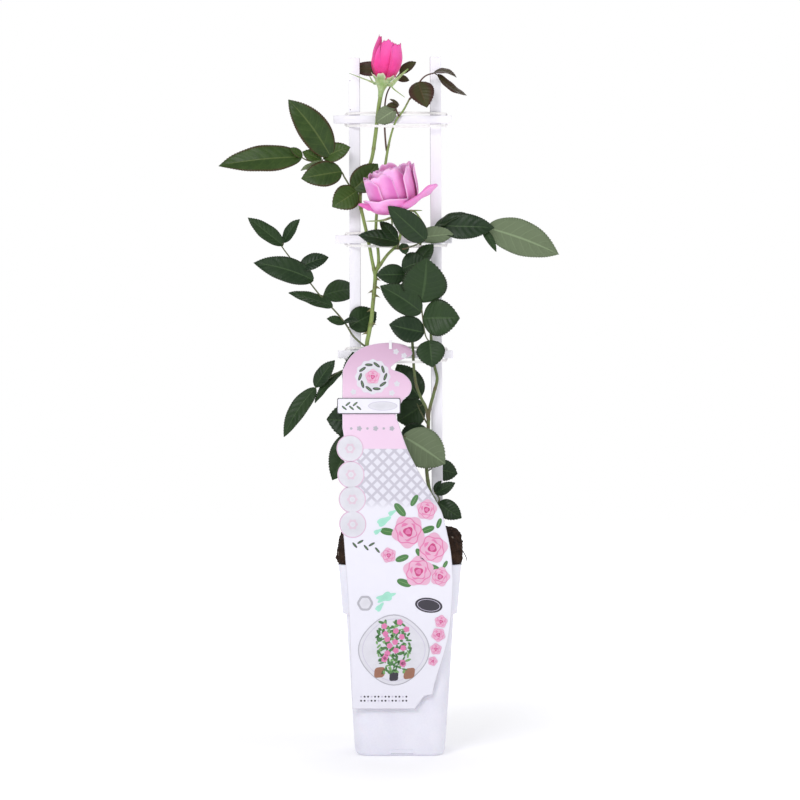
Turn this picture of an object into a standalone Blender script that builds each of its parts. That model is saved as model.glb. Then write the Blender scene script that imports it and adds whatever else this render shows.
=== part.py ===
"""A climbing rose tied to a white lath trellis, in its tall nursery pot.

Metres, +Z up. The origin is the centre of the pot's flat underside, and the
front of the pot, where the printed card hangs, faces -Y. Lengths are given in
millimetres and turned into metres by MM. The plant's points are placed by
hand, each as (x, y, z) from the origin.
"""
import math
import random

import bmesh
import bpy
from mathutils import Vector

MM = 0.001
CLEARANCE = 0.3

# Pot: half widths and heights of its rounded square plan
POT_HEIGHT = 189.0
POT_WALL = 1.4
POT_FLOOR = 1.9
BASE_HALF = 44.3
BODY_TOP_HALF = 53.0
STEP_HEIGHT = 139.5
COLLAR_BASE_HALF = 56.5
COLLAR_TOP_HALF = 60.4
POT_CORNER = 0.33
CORNER_SEGMENTS = 4
NOTCH_LEFT, NOTCH_RIGHT, NOTCH_SLANT = -9.5, 11.5, 4.0
NOTCH_HEIGHT, NOTCH_DEPTH = 7.0, 2.6
DRAIN_RADIUS, DRAIN_OFFSET = 4.5, 26.0

# Soil block, which stands above the rim
SOIL_TOP = 221.0
SOIL_HALF = 61.3
SOIL_ROUGHNESS = 1.3

# Trellis
STAKE_WIDTH, STAKE_THICK = 11.0, 4.0
STAKE_FOOT = 112.0
SLAT_HEIGHT, SLAT_THICK = 8.0, 3.0
TIE_WIDTH, TIE_THICK = 2.6, 0.8
STAKES = {
    "stake_left": ((-43.3, 0.0, STAKE_FOOT), (-45.8, 0.0, 692.0)),
    "stake_right": ((37.9, 0.0, STAKE_FOOT), (35.3, 0.0, 693.0)),
}
SLATS = {
    "top": (-66.5, 51.5, 630.0),
    "middle": (-64.5, 52.0, 510.4),
    "low": (-62.0, 53.0, 395.6),
}

# Printed card
TAG_THICK = 0.7
TAG_LEFT = [
    (-46.6, 48), (-49.4, 134), (-52.5, 185), (-55.0, 220), (-55.4, 224),
    "badge", "badge", "badge", "badge",
    (-56.5, 314), (-57, 372), (-55, 383), (-49, 393), (-41, 400), (-32, 404), (-20, 406.2), (-9.6, 406.9),
]
TAG_RIGHT = [
    (15.6, 48), (15.6, 49.5), (24, 61.3), (31.8, 62), (34, 73), (47.5, 120), (51.5, 167), (51, 187), (49, 205),
    (46, 220), (44, 229),
    (41, 240), (37, 248), (30, 260), (23, 272), (15, 286), (8, 300), (3, 313), (-1, 326), (-4, 336),
    (3, 350), (9, 355),
    (11.5, 362), (10, 369), (3, 376), (-9, 381), (-5, 386), (2, 390), (11, 394), (12, 398), (8, 403),
    (0, 406), (-6.3, 406.9),
]
CARD_ROW = 1.2
BADGES = [(-46, 229), (-46.5, 253), (-48, 277), (-49, 302.5)]
BADGE_RADIUS, BADGE_STEPS = 13.3, 4
TAG_PROFILE = [(30, -51.2), (185, -64.0), (213, -65.4), (228, -63.9), (240, -60.9), (420, -11.3)]
BAND_LEFT, BAND_RIGHT, BAND_LOW, BAND_HIGH = -62.0, 0.5, 336.3, 352.0

# Canes: points and radii
CANE_LEFT = [
    (-14, -15, 172, 2.9), (-16, -14, 222, 2.9), (-20, -12.5, 270, 2.7), (-27, -10.5, 330, 2.4),
    (-32, -9.2, 380, 2.2),
    (-33, -9.0, 404, 2.1), (-31, -10.6, 416, 2.1), (-28.5, -12, 430, 2.1), (-27, -12, 445, 2.0),
    (-25, -10.4, 465, 2.0),
    (-24.5, -9.4, 477, 2.0),
]
SHOOT_BUD = [
    (-24.6, -9.6, 474, 1.9), (-28, -9.1, 490, 1.7), (-30, -9.0, 501, 1.7), (-34, -8.9, 520, 1.7),
    (-37, -8.6, 533, 1.7),
    (-39.5, -8.0, 546, 1.7), (-38.5, -7.6, 562, 1.7), (-33, -7.6, 578, 1.7), (-28, -8.0, 591, 1.8),
    (-25, -8.3, 610, 1.9),
    (-23, -8.4, 626, 1.9), (-21.5, -8.5, 640, 2.0), (-19.4, -9.0, 652.6, 2.1),
]
SHOOT_TOP = [
    (-24.6, -9.6, 475, 1.7), (-21.5, -9.6, 486, 1.6), (-22, -9.6, 500, 1.5), (-24, -9.0, 508, 1.5),
    (-24, -9.0, 522, 1.5),
    (-23, -8.2, 538, 1.5), (-20, -7.6, 560, 1.4), (-15, -7.6, 583, 1.4), (-13, -8, 595, 1.3),
    (-10, -8.2, 610, 1.1),
    (-6.5, -8.2, 622, 1.0), (-3, -8.2, 630, 1.0), (3, -8.8, 638, 1.0), (7, -9.4, 645, 0.9),
    (9.5, -9.8, 650, 0.9),
]
SHOOT_BLOOM = [
    (-22.5, -10.2, 480, 1.6), (-18, -12, 487, 1.6), (-12, -13.8, 495, 1.5), (-4, -16, 503, 1.5),
    (0, -19.5, 512, 1.5),
    (2.4, -23.8, 521, 1.6), (3.6, -27.1, 527, 1.7), (3.0, -28.4, 530.6, 1.7),
]
CANE_RIGHT = [
    (43, -13, 172, 2.4), (40, -12.4, 224, 2.4), (37.5, -11.5, 240, 2.2), (34.5, -11, 250, 2.0),
    (30, -11, 258, 1.9),
    (27, -11, 275, 1.8), (26.5, -11, 290, 1.8), (28, -10.5, 318, 1.8), (28.5, -10.2, 334, 1.7),
    (30, -10, 343, 1.7),
    (34, -9.4, 358, 1.6), (37, -8.8, 371, 1.5), (34.5, -8.6, 383, 1.5), (32, -8.6, 396, 1.5),
    (31, -8.6, 412, 1.5),
]
SHOOT_RIGHT = [
    (28.3, -10.3, 328, 1.6), (26, -9.6, 342, 1.5), (21, -9.2, 352, 1.5), (16.5, -8.9, 364, 1.4),
    (14, -8.7, 380, 1.4),
    (13, -8.6, 398, 1.4), (12.2, -8.6, 412, 1.4), (12.5, -8.7, 440, 1.3), (14, -8.8, 465, 1.3),
    (17, -8.9, 488, 1.2),
    (20.5, -9.2, 506, 1.2),
]
# Thorns on the left cane: height, side of the cane, length
THORNS = [
    (344, 1, 4.0), (362, -1, 4.2), (416, -1, 5.0), (425, 1, 3.6), (438, -1, 3.4), (452, 1, 4.6),
    (457, -1, 4.4),
    (461, 1, 4.2), (470, 1, 3.6),
]

# Compound leaves. Each has the cane point that carries it, the points of its
# stalk, and its leaflets as base, tip, width, roll about the midrib in
# degrees (0 faces the viewer, 90 faces up, 180 shows the underside), arch.
LEAVES = {
    "leaf_top_right": (
        (9.5, -9.8, 650), [(11, -11, 652), (18, -13, 664), (25, -14, 672), (34, -15, 675)],
        [((33, -15, 675), (56, -21, 670.5), 13, 58, 0.14),
         ((37, -15.5, 673), (66.5, -22, 653), 12, 48, -0.10),
         ((18, -13.5, 666), (26.5, -24, 640), 25, 10, 0.08)]),
    "leaf_top_young": (
        (-1, -8.4, 633), [(-2, -10.5, 636), (-4, -12.5, 640), (-2, -13.5, 644)],
        [((-4, -12.5, 639), (-24, -16, 626), 18, 160, 0.06),
         ((-2, -13, 642), (-13.5, -15.5, 642.5), 8, 35, 0.08),
         ((-1, -13.5, 643), (-10, -17, 649), 4, 40, 0.05)]),
    "leaf_behind_bud": (
        (-13, -8, 595), [(-14, -6.4, 606), (-15.2, -8.4, 620), (-15.2, -8.4, 641), (-13.5, 1, 655),
                         (-10, 8, 664),
                         (-5, 12, 672), (1, 13, 680)],
        [((0, 13, 678), (16, 15, 690.5), 11, 25, 0.05),
         ((-4, 12, 674), (9.5, 13, 671.5), 8, 20, 0.05),
         ((-15, 11.5, 683), (-50, 12, 684), 15, 8, 0.03)]),
    "leaf_upper_left": (
        (-39.5, -8.0, 546), [(-42, -11.5, 549), (-49, -13, 561), (-55, -14, 571), (-60, -15, 578),
                             (-78, -17, 585.5),
                             (-91, -18, 587.5), (-99, -19, 591.5)],
        [((-98, -19, 591), (-179.5, -25, 583), 28, 18, 0.05),
         ((-97, -19, 591), (-108.5, -23, 600), 9, 30, 0.05),
         ((-69, -17.5, 592), (-110, -28, 647), 31, 4, 0.04),
         ((-78, -16, 588), (-97, -15, 597), 13, 15, 0.05),
         ((-76, -16, 590), (-49.5, -20, 601), 19, 12, 0.05),
         ((-74, -17, 585), (-98.5, -24, 578), 12, 118, 0.06),
         ((-58, -15, 577), (-97.5, -25, 569.5), 26, 10, 0.06),
         ((-43, -12.5, 558), (-67, -20, 542), 26, 6, 0.06),
         ((-47, -12.8, 559), (-22, -12.6, 585), 26, -6, 0.0)]),
    "leaf_mid_left": (
        (-33, -9.0, 404), [(-36.5, -10.8, 402.5), (-46, -13, 413), (-53, -14, 424), (-59, -15, 432),
                           (-67, -16, 441),
                           (-75, -17, 449), (-82, -18, 457), (-89, -19, 466), (-96, -20, 475),
                           (-112, -22, 495),
                           (-119, -23, 505)],
        [((-116, -22.5, 503), (-150, -26, 531), 17, 24, 0.05),
         ((-115, -22.5, 506), (-99.5, -27, 529), 13, 30, 0.06),
         ((-86, -19, 469), (-144.5, -28, 486), 25, 12, 0.05),
         ((-99, -20.5, 481), (-71, -18, 492), 17, 20, 0.05),
         ((-76, -16.5, 454), (-42, 23, 462), 22, 4, 0.03),
         ((-67, -16, 443), (-110, -22, 457), 16, 36, 0.06),
         ((-50, -9.5, 423), (-23, 3, 438), 26, 0, 0.0),
         ((-55, -15, 426), (-72.5, -19, 431), 11, 38, 0.05),
         ((-57, -15, 427), (-41, -18, 429), 9, 52, 0.05)]),
    "leaf_under_bloom": (
        (-5.35, -15.75, 500.35), [(-4, -19, 500), (4, -26, 499.5), (15, -29.5, 503), (24, -30, 507)],
        [((25, -30, 508), (-10.5, -62, 538), 24, 0, 0.0),
         ((-1, -21.8, 506), (-41, -24, 514), 19, 28, 0.06),
         ((-3, -21.8, 509), (-20, -22, 527), 13, 20, 0.04),
         ((2, -22, 505), (6, -26, 494), 10, 10, 0.05)]),
    "leaf_right": (
        (20.5, -9.2, 506), [(22.5, -10.8, 510), (28, -13.5, 516), (40, -16, 523), (60, -18, 524),
                            (86, -20, 521)],
        [((86, -20, 521), (157.5, -28, 494.5), 35, 160, 0.07),
         ((40, -17, 523), (93, -25, 521), 26, 8, 0.04),
         ((17, -14.5, 511), (53, -25, 515), 21, 140, 0.05),
         ((33, -15, 520), (67, -19, 536), 14, 55, 0.06),
         ((82, -19.5, 520), (95.5, -23, 497), 8, 10, 0.05)]),
    "leaf_centre_upper": (
        (14, -8.8, 465), [(13, -11.2, 466), (10, -13, 472), (6, -15, 477), (16, -15.5, 484)],
        [((5, -15, 475), (-23.5, -22, 474), 21, 12, 0.06),
         ((2, -15, 480), (28, -17.5, 489), 24, 14, 0.04),
         ((16, -15.5, 484), (33, -15.5, 505), 17, 20, 0.04)]),
    "leaf_centre_hanging": (
        (17, -8.9, 488), [(18.5, -11.3, 486), (20, -14.5, 466), (21, -17, 449), (22, -18, 436),
                          (25, -19, 415),
                          (29, -20, 408)],
        [((21, -17.5, 447), (26, -31, 490), 44, 0, 0.03),
         ((21, -17.5, 437), (-19.5, -25, 463), 27, 6, 0.05),
         ((23, -18.5, 431), (59, -26, 431), 36, 4, 0.05),
         ((24, -19, 417), (-10.5, -25, 425), 27, 14, 0.04),
         ((29, -20, 409), (32, -25, 382.5), 28, 0, 0.06)]),
    "leaf_lower_left": (
        (-31, -9.4, 372), [(-35, -10.5, 373), (-47, -12.5, 378), (-58, -14.5, 379), (-72, -16.5, 370),
                           (-84, -18, 362)],
        [((-84, -18, 362), (-115.5, -24, 314), 18, 14, 0.05),
         ((-84, -18, 363), (-65, -21, 389.5), 16, 20, 0.05),
         ((-58, -15, 378), (-85, -22, 348), 11, 40, 0.05)]),
    "leaf_tag_left": (
        (-24, -11.5, 305), [(-27, -14, 306), (-35, -19, 318), (-38, -20, 334), (-38, -20, 352)],
        [((-35, -20, 330), (-72.5, -25, 331), 36, 4, 0.04),
         ((-40, -21, 318), (-67, -28, 271), 30, 8, 0.04),
         ((-38, -20, 354), (-47, -16, 398), 30, 0, 0.0)]),
    "leaf_back_upper": (
        (28.3, -10.3, 326), [(24.5, -5, 330), (19, 3, 342), (15, 6, 352)],
        [((20, 6, 352), (-3, 11, 386), 28, 4, 0.04),
         ((24, 4, 346), (-3, 12, 329), 30, 10, 0.04)]),
    "leaf_back_lower": (
        (26.5, -11, 296), [(24.5, -7.5, 298), (24, 0, 305), (25, 3, 315)],
        [((25, 3, 315), (5, 9, 297), 28, 4, 0.04)]),
    "leaf_silver": (
        (27.5, -10.7, 310), [(24.5, -13, 312), (14, -18, 314), (4, -21, 314)],
        [((3, -21, 313.5), (42, -29, 289), 34, 174, 0.04)]),
    "leaf_low_small": (
        (26.3, -11, 284), [(24.2, -12.6, 286), (21, -13, 289)],
        [((23, -12.8, 288), (10.5, -12.5, 292), 12, 30, 0.05)]),
    "leaf_low_pale": (
        (26.6, -11, 279), [(28.6, -8.5, 279), (31, 2.5, 281), (34, 7, 282)],
        [((33, 6.5, 282), (58, 11, 276), 21, 10, 0.04)]),
    "leaf_low_right": (
        (36, -11.2, 246), [(38.5, -13.6, 247), (39, -15, 252), (35, -15, 258)],
        [((35, -15, 257), (54.5, -19, 268), 12, 20, 0.06),
         ((38.5, -14, 248), (61, -20, 233), 19, 8, 0.06),
         ((34, -15, 259), (41, -18, 270), 6, 18, 0.05)]),
}
STALK_RADIUS = 0.85
BLADE_THICK = 0.65
TEETH, SHORT_TEETH, TINY_TEETH = 5, 4, 3
SHORT_LEAFLET, TINY_LEAFLET = 25.0, 16.0

# Bloom. Azimuth 0 faces the viewer and 90 the right, in degrees. Petals as
# azimuth, half span, radius, height, closing angle, outward roll of the rim.
BLOOM_BASE = (1.0, -30.0, 537.0)
BLOOM_AXIS = (-0.30, -0.24, 0.92)
BLOOM_PETALS = [
    (20, 75, 6, 42, 128, 0.5), (140, 80, 7, 43, 126, 0.5), (260, 80, 8, 43, 124, 0.5),
    (60, 52, 13, 43, 122, 1.0), (165, 56, 14, 45, 120, 1.0), (-80, 54, 14, 44, 120, 1.0),
    (2, 48, 19.5, 41, 118, 1.0), (120, 48, 19, 46, 116, 1.5), (215, 52, 20, 46, 118, 1.5),
    (-64, 40, 22.5, 41, 122, 1.5), (62, 40, 22, 42, 112, 2.5),
    (150, 48, 24.5, 45, 110, 2.0), (236, 44, 25.5, 43, 114, 2.0), (-86, 40, 27, 35, 112, 1.5),
    (84, 34, 26, 40, 104, 3.5),
    (-14, 58, 27.5, 19.5, 92, 2.0), (-80, 26, 37, 13, 74, 1.0), (80, 26, 41, 14, 62, 2.0),
]
# Sepals as azimuth, then distance from the axis and rise at their middle and
# tip, and width
BLOOM_SEPALS = [(95, (15, -6), (27, -25), 4.4), (84, (14, -4), (24, -7), 3.4),
                (-88, (20, -3.5), (36, 1), 4.0),
                (165, (14, -4), (20, -18), 4.4), (225, (14, -5), (19, -18), 4.4)]
PETAL_THICK = 0.6

# Bud. Its profile is the radius along its height; petals as azimuth, half
# span, distance inside the profile, share of the height.
BUD_BASE = (-17.0, -9.0, 668.0)
BUD_AXIS = (0.15, 0.0, 1.0)
BUD_HEIGHT = 41.0
BUD_PROFILE = [(0.0, 6.4), (0.06, 9.0), (0.15, 11.8), (0.3, 14.4), (0.45, 15.8), (0.63, 15.7), (0.85, 13.6),
               (1.0, 10.6)]
BUD_PETALS = [(215, 95, 3.0, 0.97), (100, 95, 2.0, 0.96), (-62, 84, 1.0, 1.06), (28, 80, 0.0, 0.98)]
BUD_CORE = [(-0.45, 6.4), (1.3, 8.5), (3.4, 8.4), (12.0, 9.6), (25.0, 9.0), (35.0, 4.0)]
BUD_SEPALS = [(-90, (18, -1), (36, 2.5), 3.4), (78, (14, 3), (25, 16), 8.0), (70, (13, -7), (26, -14), 3.2),
              (186, (13, -5), (19, -16), 4.0), (-140, (14, -2), (22, 5), 4.0)]

COLOURS = {
    "pot white": ((0.86, 0.85, 0.90), 0.35),
    "peat": ((0.055, 0.035, 0.022), 0.95),
    "white lath": ((0.85, 0.84, 0.88), 0.6),
    "white elastic": ((0.88, 0.87, 0.90), 0.7),
    "printed card": ((0.90, 0.72, 0.84), 0.3),
    "white plastic": ((0.88, 0.87, 0.90), 0.35),
    "green cane": ((0.20, 0.30, 0.09), 0.5),
    "rose leaf": ((0.045, 0.11, 0.03), 0.4),
    "young leaf": ((0.10, 0.05, 0.035), 0.4),
    "calyx green": ((0.30, 0.42, 0.20), 0.55),
    "pale pink petal": ((0.84, 0.42, 0.72), 0.5),
    "deep pink petal": ((0.80, 0.08, 0.36), 0.5),
}


def clear_scene():
    for thing in list(bpy.data.objects):
        bpy.data.objects.remove(thing, do_unlink=True)


def material(name):
    """A Principled material in the named colour, made once."""
    if name in bpy.data.materials:
        return bpy.data.materials[name]
    colour, roughness = COLOURS[name]
    new = bpy.data.materials.new(name)
    new.use_nodes = True
    shader = new.node_tree.nodes["Principled BSDF"]
    shader.inputs["Base Color"].default_value = (*colour, 1.0)
    shader.inputs["Roughness"].default_value = roughness
    new.diffuse_color = (*colour, 1.0)
    return new


def make(name, points, faces, finish):
    """An object from points in millimetres."""
    mesh = bpy.data.meshes.new(name)
    mesh.from_pydata([Vector(point) * MM for point in points], [], faces)
    mesh.update()
    thing = bpy.data.objects.new(name, mesh)
    bpy.context.scene.collection.objects.link(thing)
    mesh.materials.append(material(finish))
    return thing


def flat_shape(thing):
    """The object's own mesh after its modifiers."""
    graph = bpy.context.evaluated_depsgraph_get()
    mesh = bpy.data.meshes.new_from_object(thing.evaluated_get(graph))
    thing.modifiers.clear()
    thing.data = mesh


def fuse(pieces, name):
    """One body from closed pieces that reach into one another."""
    body = pieces[0]
    body.name = name
    others = bpy.data.collections.new(name + " pieces")
    bpy.context.scene.collection.children.link(others)
    for piece in pieces[1:]:
        bpy.context.scene.collection.objects.unlink(piece)
        others.objects.link(piece)
    union = body.modifiers.new("Fuse", "BOOLEAN")
    union.operation = "UNION"
    union.operand_type = "COLLECTION"
    union.collection = others
    union.solver = "MANIFOLD"
    flat_shape(body)
    for piece in list(others.objects):
        bpy.data.objects.remove(piece, do_unlink=True)
    bpy.data.collections.remove(others)
    return body


def cut(body, cutter):
    """Takes the cutter's shape out of the body."""
    bool_cut = body.modifiers.new("Cut", "BOOLEAN")
    bool_cut.operation = "DIFFERENCE"
    bool_cut.solver = "EXACT"
    bool_cut.object = cutter
    flat_shape(body)
    bpy.data.objects.remove(cutter, do_unlink=True)


def loft(name, rings, finish):
    """A closed body through rings of equal point counts, with flat ends."""
    count = len(rings[0])
    points = [point for ring in rings for point in ring]
    faces = []
    for row in range(len(rings) - 1):
        for step in range(count):
            after = (step + 1) % count
            a, b = row * count + step, row * count + after
            faces.append((a, b, b + count, a + count))
    last = (len(rings) - 1) * count
    faces.append(tuple(reversed(range(count))))
    faces.append(tuple(range(last, last + count)))
    return make(name, points, faces, finish)


def rounded_square(half, height):
    """A ring of points round a square with arcs at its corners."""
    corner = half * POT_CORNER
    ring = []
    for quarter, (side_x, side_y) in enumerate(((1, 1), (-1, 1), (-1, -1), (1, -1))):
        for step in range(CORNER_SEGMENTS + 1):
            angle = (quarter + step / CORNER_SEGMENTS) * math.pi / 2
            ring.append((side_x * (half - corner) + corner * math.cos(angle),
                         side_y * (half - corner) + corner * math.sin(angle), height))
    return ring


def box(name, low, high, finish):
    """A box between two corners."""
    rings = [[(low[0], low[1], z), (high[0], low[1], z), (high[0], high[1], z), (low[0], high[1], z)]
             for z in (low[2], high[2])]
    return loft(name, rings, finish)


def smooth_path(points, steps):
    """Catmull-Rom curve through points of any dimension."""
    path = []
    for index in range(len(points) - 1):
        before = points[max(index - 1, 0)]
        start, end = points[index], points[index + 1]
        after = points[min(index + 2, len(points) - 1)]
        for step in range(steps):
            t = step / steps
            path.append(tuple(
                0.5 * (2 * s + (e - b) * t + (2 * b - 5 * s + 4 * e - a) * t * t
                       + (3 * s - 3 * e + a - b) * t ** 3)
                for b, s, e, a in zip(before, start, end, after)))
    path.append(tuple(points[-1]))
    return path


def directions(path, closed=False):
    """Unit direction at each point of a path."""
    count = len(path)
    result = []
    for index in range(count):
        after = path[(index + 1) % count] if closed else path[min(index + 1, count - 1)]
        before = path[index - 1] if closed else path[max(index - 1, 0)]
        result.append((after - before).normalized())
    return result


def tube(name, points, finish, sides=6):
    """A round closed tube along points (x, y, z, radius)."""
    path = [Vector(point[:3]) for point in points]
    along = directions(path)
    across = along[0].orthogonal().normalized()
    rings = []
    for centre, heading, point in zip(path, along, points):
        across = (across - heading * across.dot(heading)).normalized()
        other = heading.cross(across)
        rings.append([centre + (across * math.cos(turn) + other * math.sin(turn)) * point[3]
                      for turn in (math.tau * side / sides for side in range(sides))])
    return loft(name, rings, finish)


def thick_sheet(name, points, triangles, thickness, finish):
    """A closed sheet round a triangulated middle surface, split alike on both faces."""
    points = [Vector(point) for point in points]
    normals = [Vector((0, 0, 0)) for _ in points]
    edges = {}
    for a, b, c in triangles:
        normal = (points[b] - points[a]).cross(points[c] - points[a])
        for corner in (a, b, c):
            normals[corner] += normal
        for edge in ((a, b), (b, c), (c, a)):
            edges[edge] = True
    offset = [normal.normalized() * (thickness / 2) for normal in normals]
    count = len(points)
    both = [point + out for point, out in zip(points, offset)] + [point - out for point,
                                                                  out in zip(points, offset)]
    faces = [tuple(face) for face in triangles]
    faces += [(c + count, b + count, a + count) for a, b, c in triangles]
    for a, b in edges:
        if (b, a) not in edges:
            faces.append((b, a, a + count))
            faces.append((b, a + count, b + count))
    return make(name, both, faces, finish)


def ring_offset(value, rows):
    """The value of a table of (position, value) rows at a position between them."""
    for (low, first), (high, second) in zip(rows, rows[1:]):
        if value <= high:
            return first + (second - first) * (value - low) / (high - low)
    return rows[-1][1]


def make_pot():
    inner = POT_WALL
    profile = [
        (BASE_HALF - 1.7, 0.0), (BASE_HALF, 1.8), (BODY_TOP_HALF, STEP_HEIGHT),
        (COLLAR_BASE_HALF, STEP_HEIGHT + 2.0),
        (COLLAR_TOP_HALF, POT_HEIGHT - 1.6), (COLLAR_TOP_HALF + 0.5, POT_HEIGHT),
        (COLLAR_TOP_HALF - inner + 0.3, POT_HEIGHT), (COLLAR_BASE_HALF - inner, STEP_HEIGHT + 2.4),
        (BODY_TOP_HALF - inner, STEP_HEIGHT + 0.6), (BASE_HALF - inner, POT_FLOOR),
    ]
    pot = loft("pot", [rounded_square(half, z) for half, z in profile], "pot white")
    back = -BASE_HALF + NOTCH_DEPTH
    block = box("notch wall", (NOTCH_LEFT - 1.6, back - 1.9, 0.6),
                (NOTCH_RIGHT + NOTCH_SLANT + 1.6, back + 1.5, NOTCH_HEIGHT + 1.5), "pot white")
    pot = fuse([pot, block], "pot")
    outline = [(NOTCH_LEFT, -1), (NOTCH_RIGHT + NOTCH_SLANT, -1), (NOTCH_RIGHT, NOTCH_HEIGHT),
               (NOTCH_LEFT, NOTCH_HEIGHT)]
    notch = loft("notch", [[(x, y, z) for x, z in outline] for y in (back, back - 8)], "pot white")
    cut(pot, notch)
    for side_x in (-1, 1):
        for side_y in (-1, 1):
            centre_x, centre_y = side_x * DRAIN_OFFSET, side_y * DRAIN_OFFSET
            cut(pot, tube("drain",
                          [(centre_x, centre_y, -2, DRAIN_RADIUS), (centre_x, centre_y, 5, DRAIN_RADIUS)],
                          "pot white", 10))
    return pot


def rough_ring(half, height, dice):
    """A rounded square ring with uneven points, for the soil above the rim."""
    ring = []
    for x, y, z in rounded_square(half, height):
        swell = 1 + dice.uniform(-1, 1) * SOIL_ROUGHNESS / half
        ring.append((x * swell, y * swell, z + dice.uniform(-0.5, 0.5) * SOIL_ROUGHNESS))
    return ring


def make_soil(holes):
    """The peat block, with a plain hole for each stake and cane."""
    dice = random.Random(7)
    inner = POT_WALL + CLEARANCE
    rows = [(BASE_HALF - inner, POT_FLOOR + CLEARANCE), (BODY_TOP_HALF - inner, STEP_HEIGHT + 0.4),
            (COLLAR_BASE_HALF - inner, STEP_HEIGHT + 2.8),
            (COLLAR_TOP_HALF - inner + 0.2, POT_HEIGHT + 0.5)]
    rings = [rounded_square(half, z) for half, z in rows]
    rings.append(rounded_square(SOIL_HALF - 0.6, POT_HEIGHT + 1.4))
    for half, z in ((SOIL_HALF, 195), (SOIL_HALF - 0.2, 202), (SOIL_HALF - 0.8, 209),
                    (SOIL_HALF - 2.2, 215.5),
                    (SOIL_HALF - 6.0, SOIL_TOP - 1), (SOIL_HALF - 18, SOIL_TOP),
                    (SOIL_HALF - 38, SOIL_TOP + 0.5)):
        rings.append(rough_ring(half, z, dice))
    rings[-1] = [(x, y, SOIL_TOP + 0.5) for x, y, z in rings[-1]]
    soil = loft("soil", rings, "peat")
    wall = -BASE_HALF + NOTCH_DEPTH + 1.5 + CLEARANCE
    cut(soil, box("wall room", (NOTCH_LEFT - 2.0, -80, -5),
                  (NOTCH_RIGHT + NOTCH_SLANT + 2.0, wall, NOTCH_HEIGHT + 1.9), "peat"))
    for hole in holes:
        cut(soil, hole)
    root = [(54, -14, 206, 0.6), (59, -15, 204, 0.6), (63, -16, 199, 0.5), (66, -16, 193, 0.4),
            (66.3, -16, 190, 0.3)]
    return fuse([soil, tube("root", smooth_path(root, 2), "peat", 5)], "soil")


def lath(name, foot, head, grow=0.0, finish="white lath"):
    """An upright lath between two points, grown by a clearance for its hole."""
    half_x, half_y = STAKE_WIDTH / 2 + grow, STAKE_THICK / 2 + grow
    rings = [[(x - half_x, y - half_y, z), (x + half_x, y - half_y, z), (x + half_x, y + half_y, z),
              (x - half_x, y + half_y, z)] for x, y, z in (foot, head)]
    return loft(name, rings, finish)


def soften(thing, width):
    """A small bevel on a made piece's edges."""
    bevel = thing.modifiers.new("Edge", "BEVEL")
    bevel.width = width * MM
    bevel.segments = 1
    bevel.limit_method = "ANGLE"


def make_slat(place, left, right, height):
    front = -STAKE_THICK / 2 - CLEARANCE
    slat = box("crossbar_" + place, (left, front - SLAT_THICK, height - SLAT_HEIGHT / 2),
               (right, front, height + SLAT_HEIGHT / 2), "white lath")
    soften(slat, 0.5)


def make_tie(place, height):
    """An elastic ring hooked behind the slat's ends, one strand above it and one in front of the canes."""
    half = SLAT_HEIGHT / 2
    low, high = height - half - 1.7, height + half + 1.7
    route = [
        (-50.2, -3.8, low - 0.5), (-36, -12.4, low - 1.4), (-18, -13.2, low - 2.0), (2, -13.2, low - 2.2),
        (22, -12.8, low - 1.9), (36, -11.4, low - 1.2), (44, -3.8, low - 0.5), (46, -1.3, low - 0.1),
        (47.4, -1.2, height), (46, -1.3, high), (44, -3.6, high + 0.2), (30, -4.4, high + 0.6),
        (0, -4.4, high + 1.0), (-35, -4.4, high + 0.7), (-50.2, -3.8, high + 0.2), (-53.6, -1.3, high),
        (-55.2, -1.2, height), (-53.6, -1.3, low - 0.1),
    ]
    path = [Vector(point) for point in route]
    along = directions(path, closed=True)
    count = len(path)
    points = []
    for centre, heading in zip(path, along):
        rise = Vector((0, -1, 0)).cross(heading).normalized() * (TIE_WIDTH / 2)
        out = heading.cross(rise).normalized() * (TIE_THICK / 2)
        points += [centre + rise + out, centre + rise - out, centre - rise - out, centre - rise + out]
    faces = []
    for index in range(count):
        a, b = index * 4, ((index + 1) % count) * 4
        for side in range(4):
            after = (side + 1) % 4
            faces.append((a + side, a + after, b + after))
            faces.append((a + side, b + after, b + side))
    ring = make("tie_" + place, points, faces, "white elastic")
    face_outward(ring)


def face_outward(thing):
    """Turns a closed mesh's faces outward."""
    build = bmesh.new()
    build.from_mesh(thing.data)
    bmesh.ops.recalc_face_normals(build, faces=build.faces)
    build.to_mesh(thing.data)
    build.free()


def card_front(z):
    """How far forward the card's middle surface lies at a height."""
    return ring_offset(z, TAG_PROFILE)


def make_card(name, left, right, bends, thickness, forward, finish):
    """A thin card between two sides listed upward in x and z, bent along level rows to the card's profile."""
    heights = sorted({z for x, z in left + right} | set(bends))
    rows = [heights[0]]
    for z in heights[1:]:
        if z - rows[-1] >= CARD_ROW:
            rows.append(z)
    rows[-1] = heights[-1]
    points, triangles = [], []
    for z in rows:
        for side in (left, right):
            points.append((ring_offset(z, [(height, x) for x, height in side]), card_front(z) - forward, z))
    for a in range(0, 2 * len(rows) - 2, 2):
        triangles += [(a, a + 1, a + 3), (a, a + 3, a + 2)]
    sheet = thick_sheet(name, points, triangles, thickness, finish)
    face_outward(sheet)


def badge_arc(centre_x, centre_z):
    """Points down the left half of a round badge, from its top to its foot reversed to run upward."""
    arc = []
    for step in range(BADGE_STEPS + 1):
        turn = math.radians(-118 - 124 * step / BADGE_STEPS)
        arc.append((centre_x + BADGE_RADIUS * math.cos(turn), centre_z + BADGE_RADIUS * math.sin(turn)))
    return arc


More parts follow.
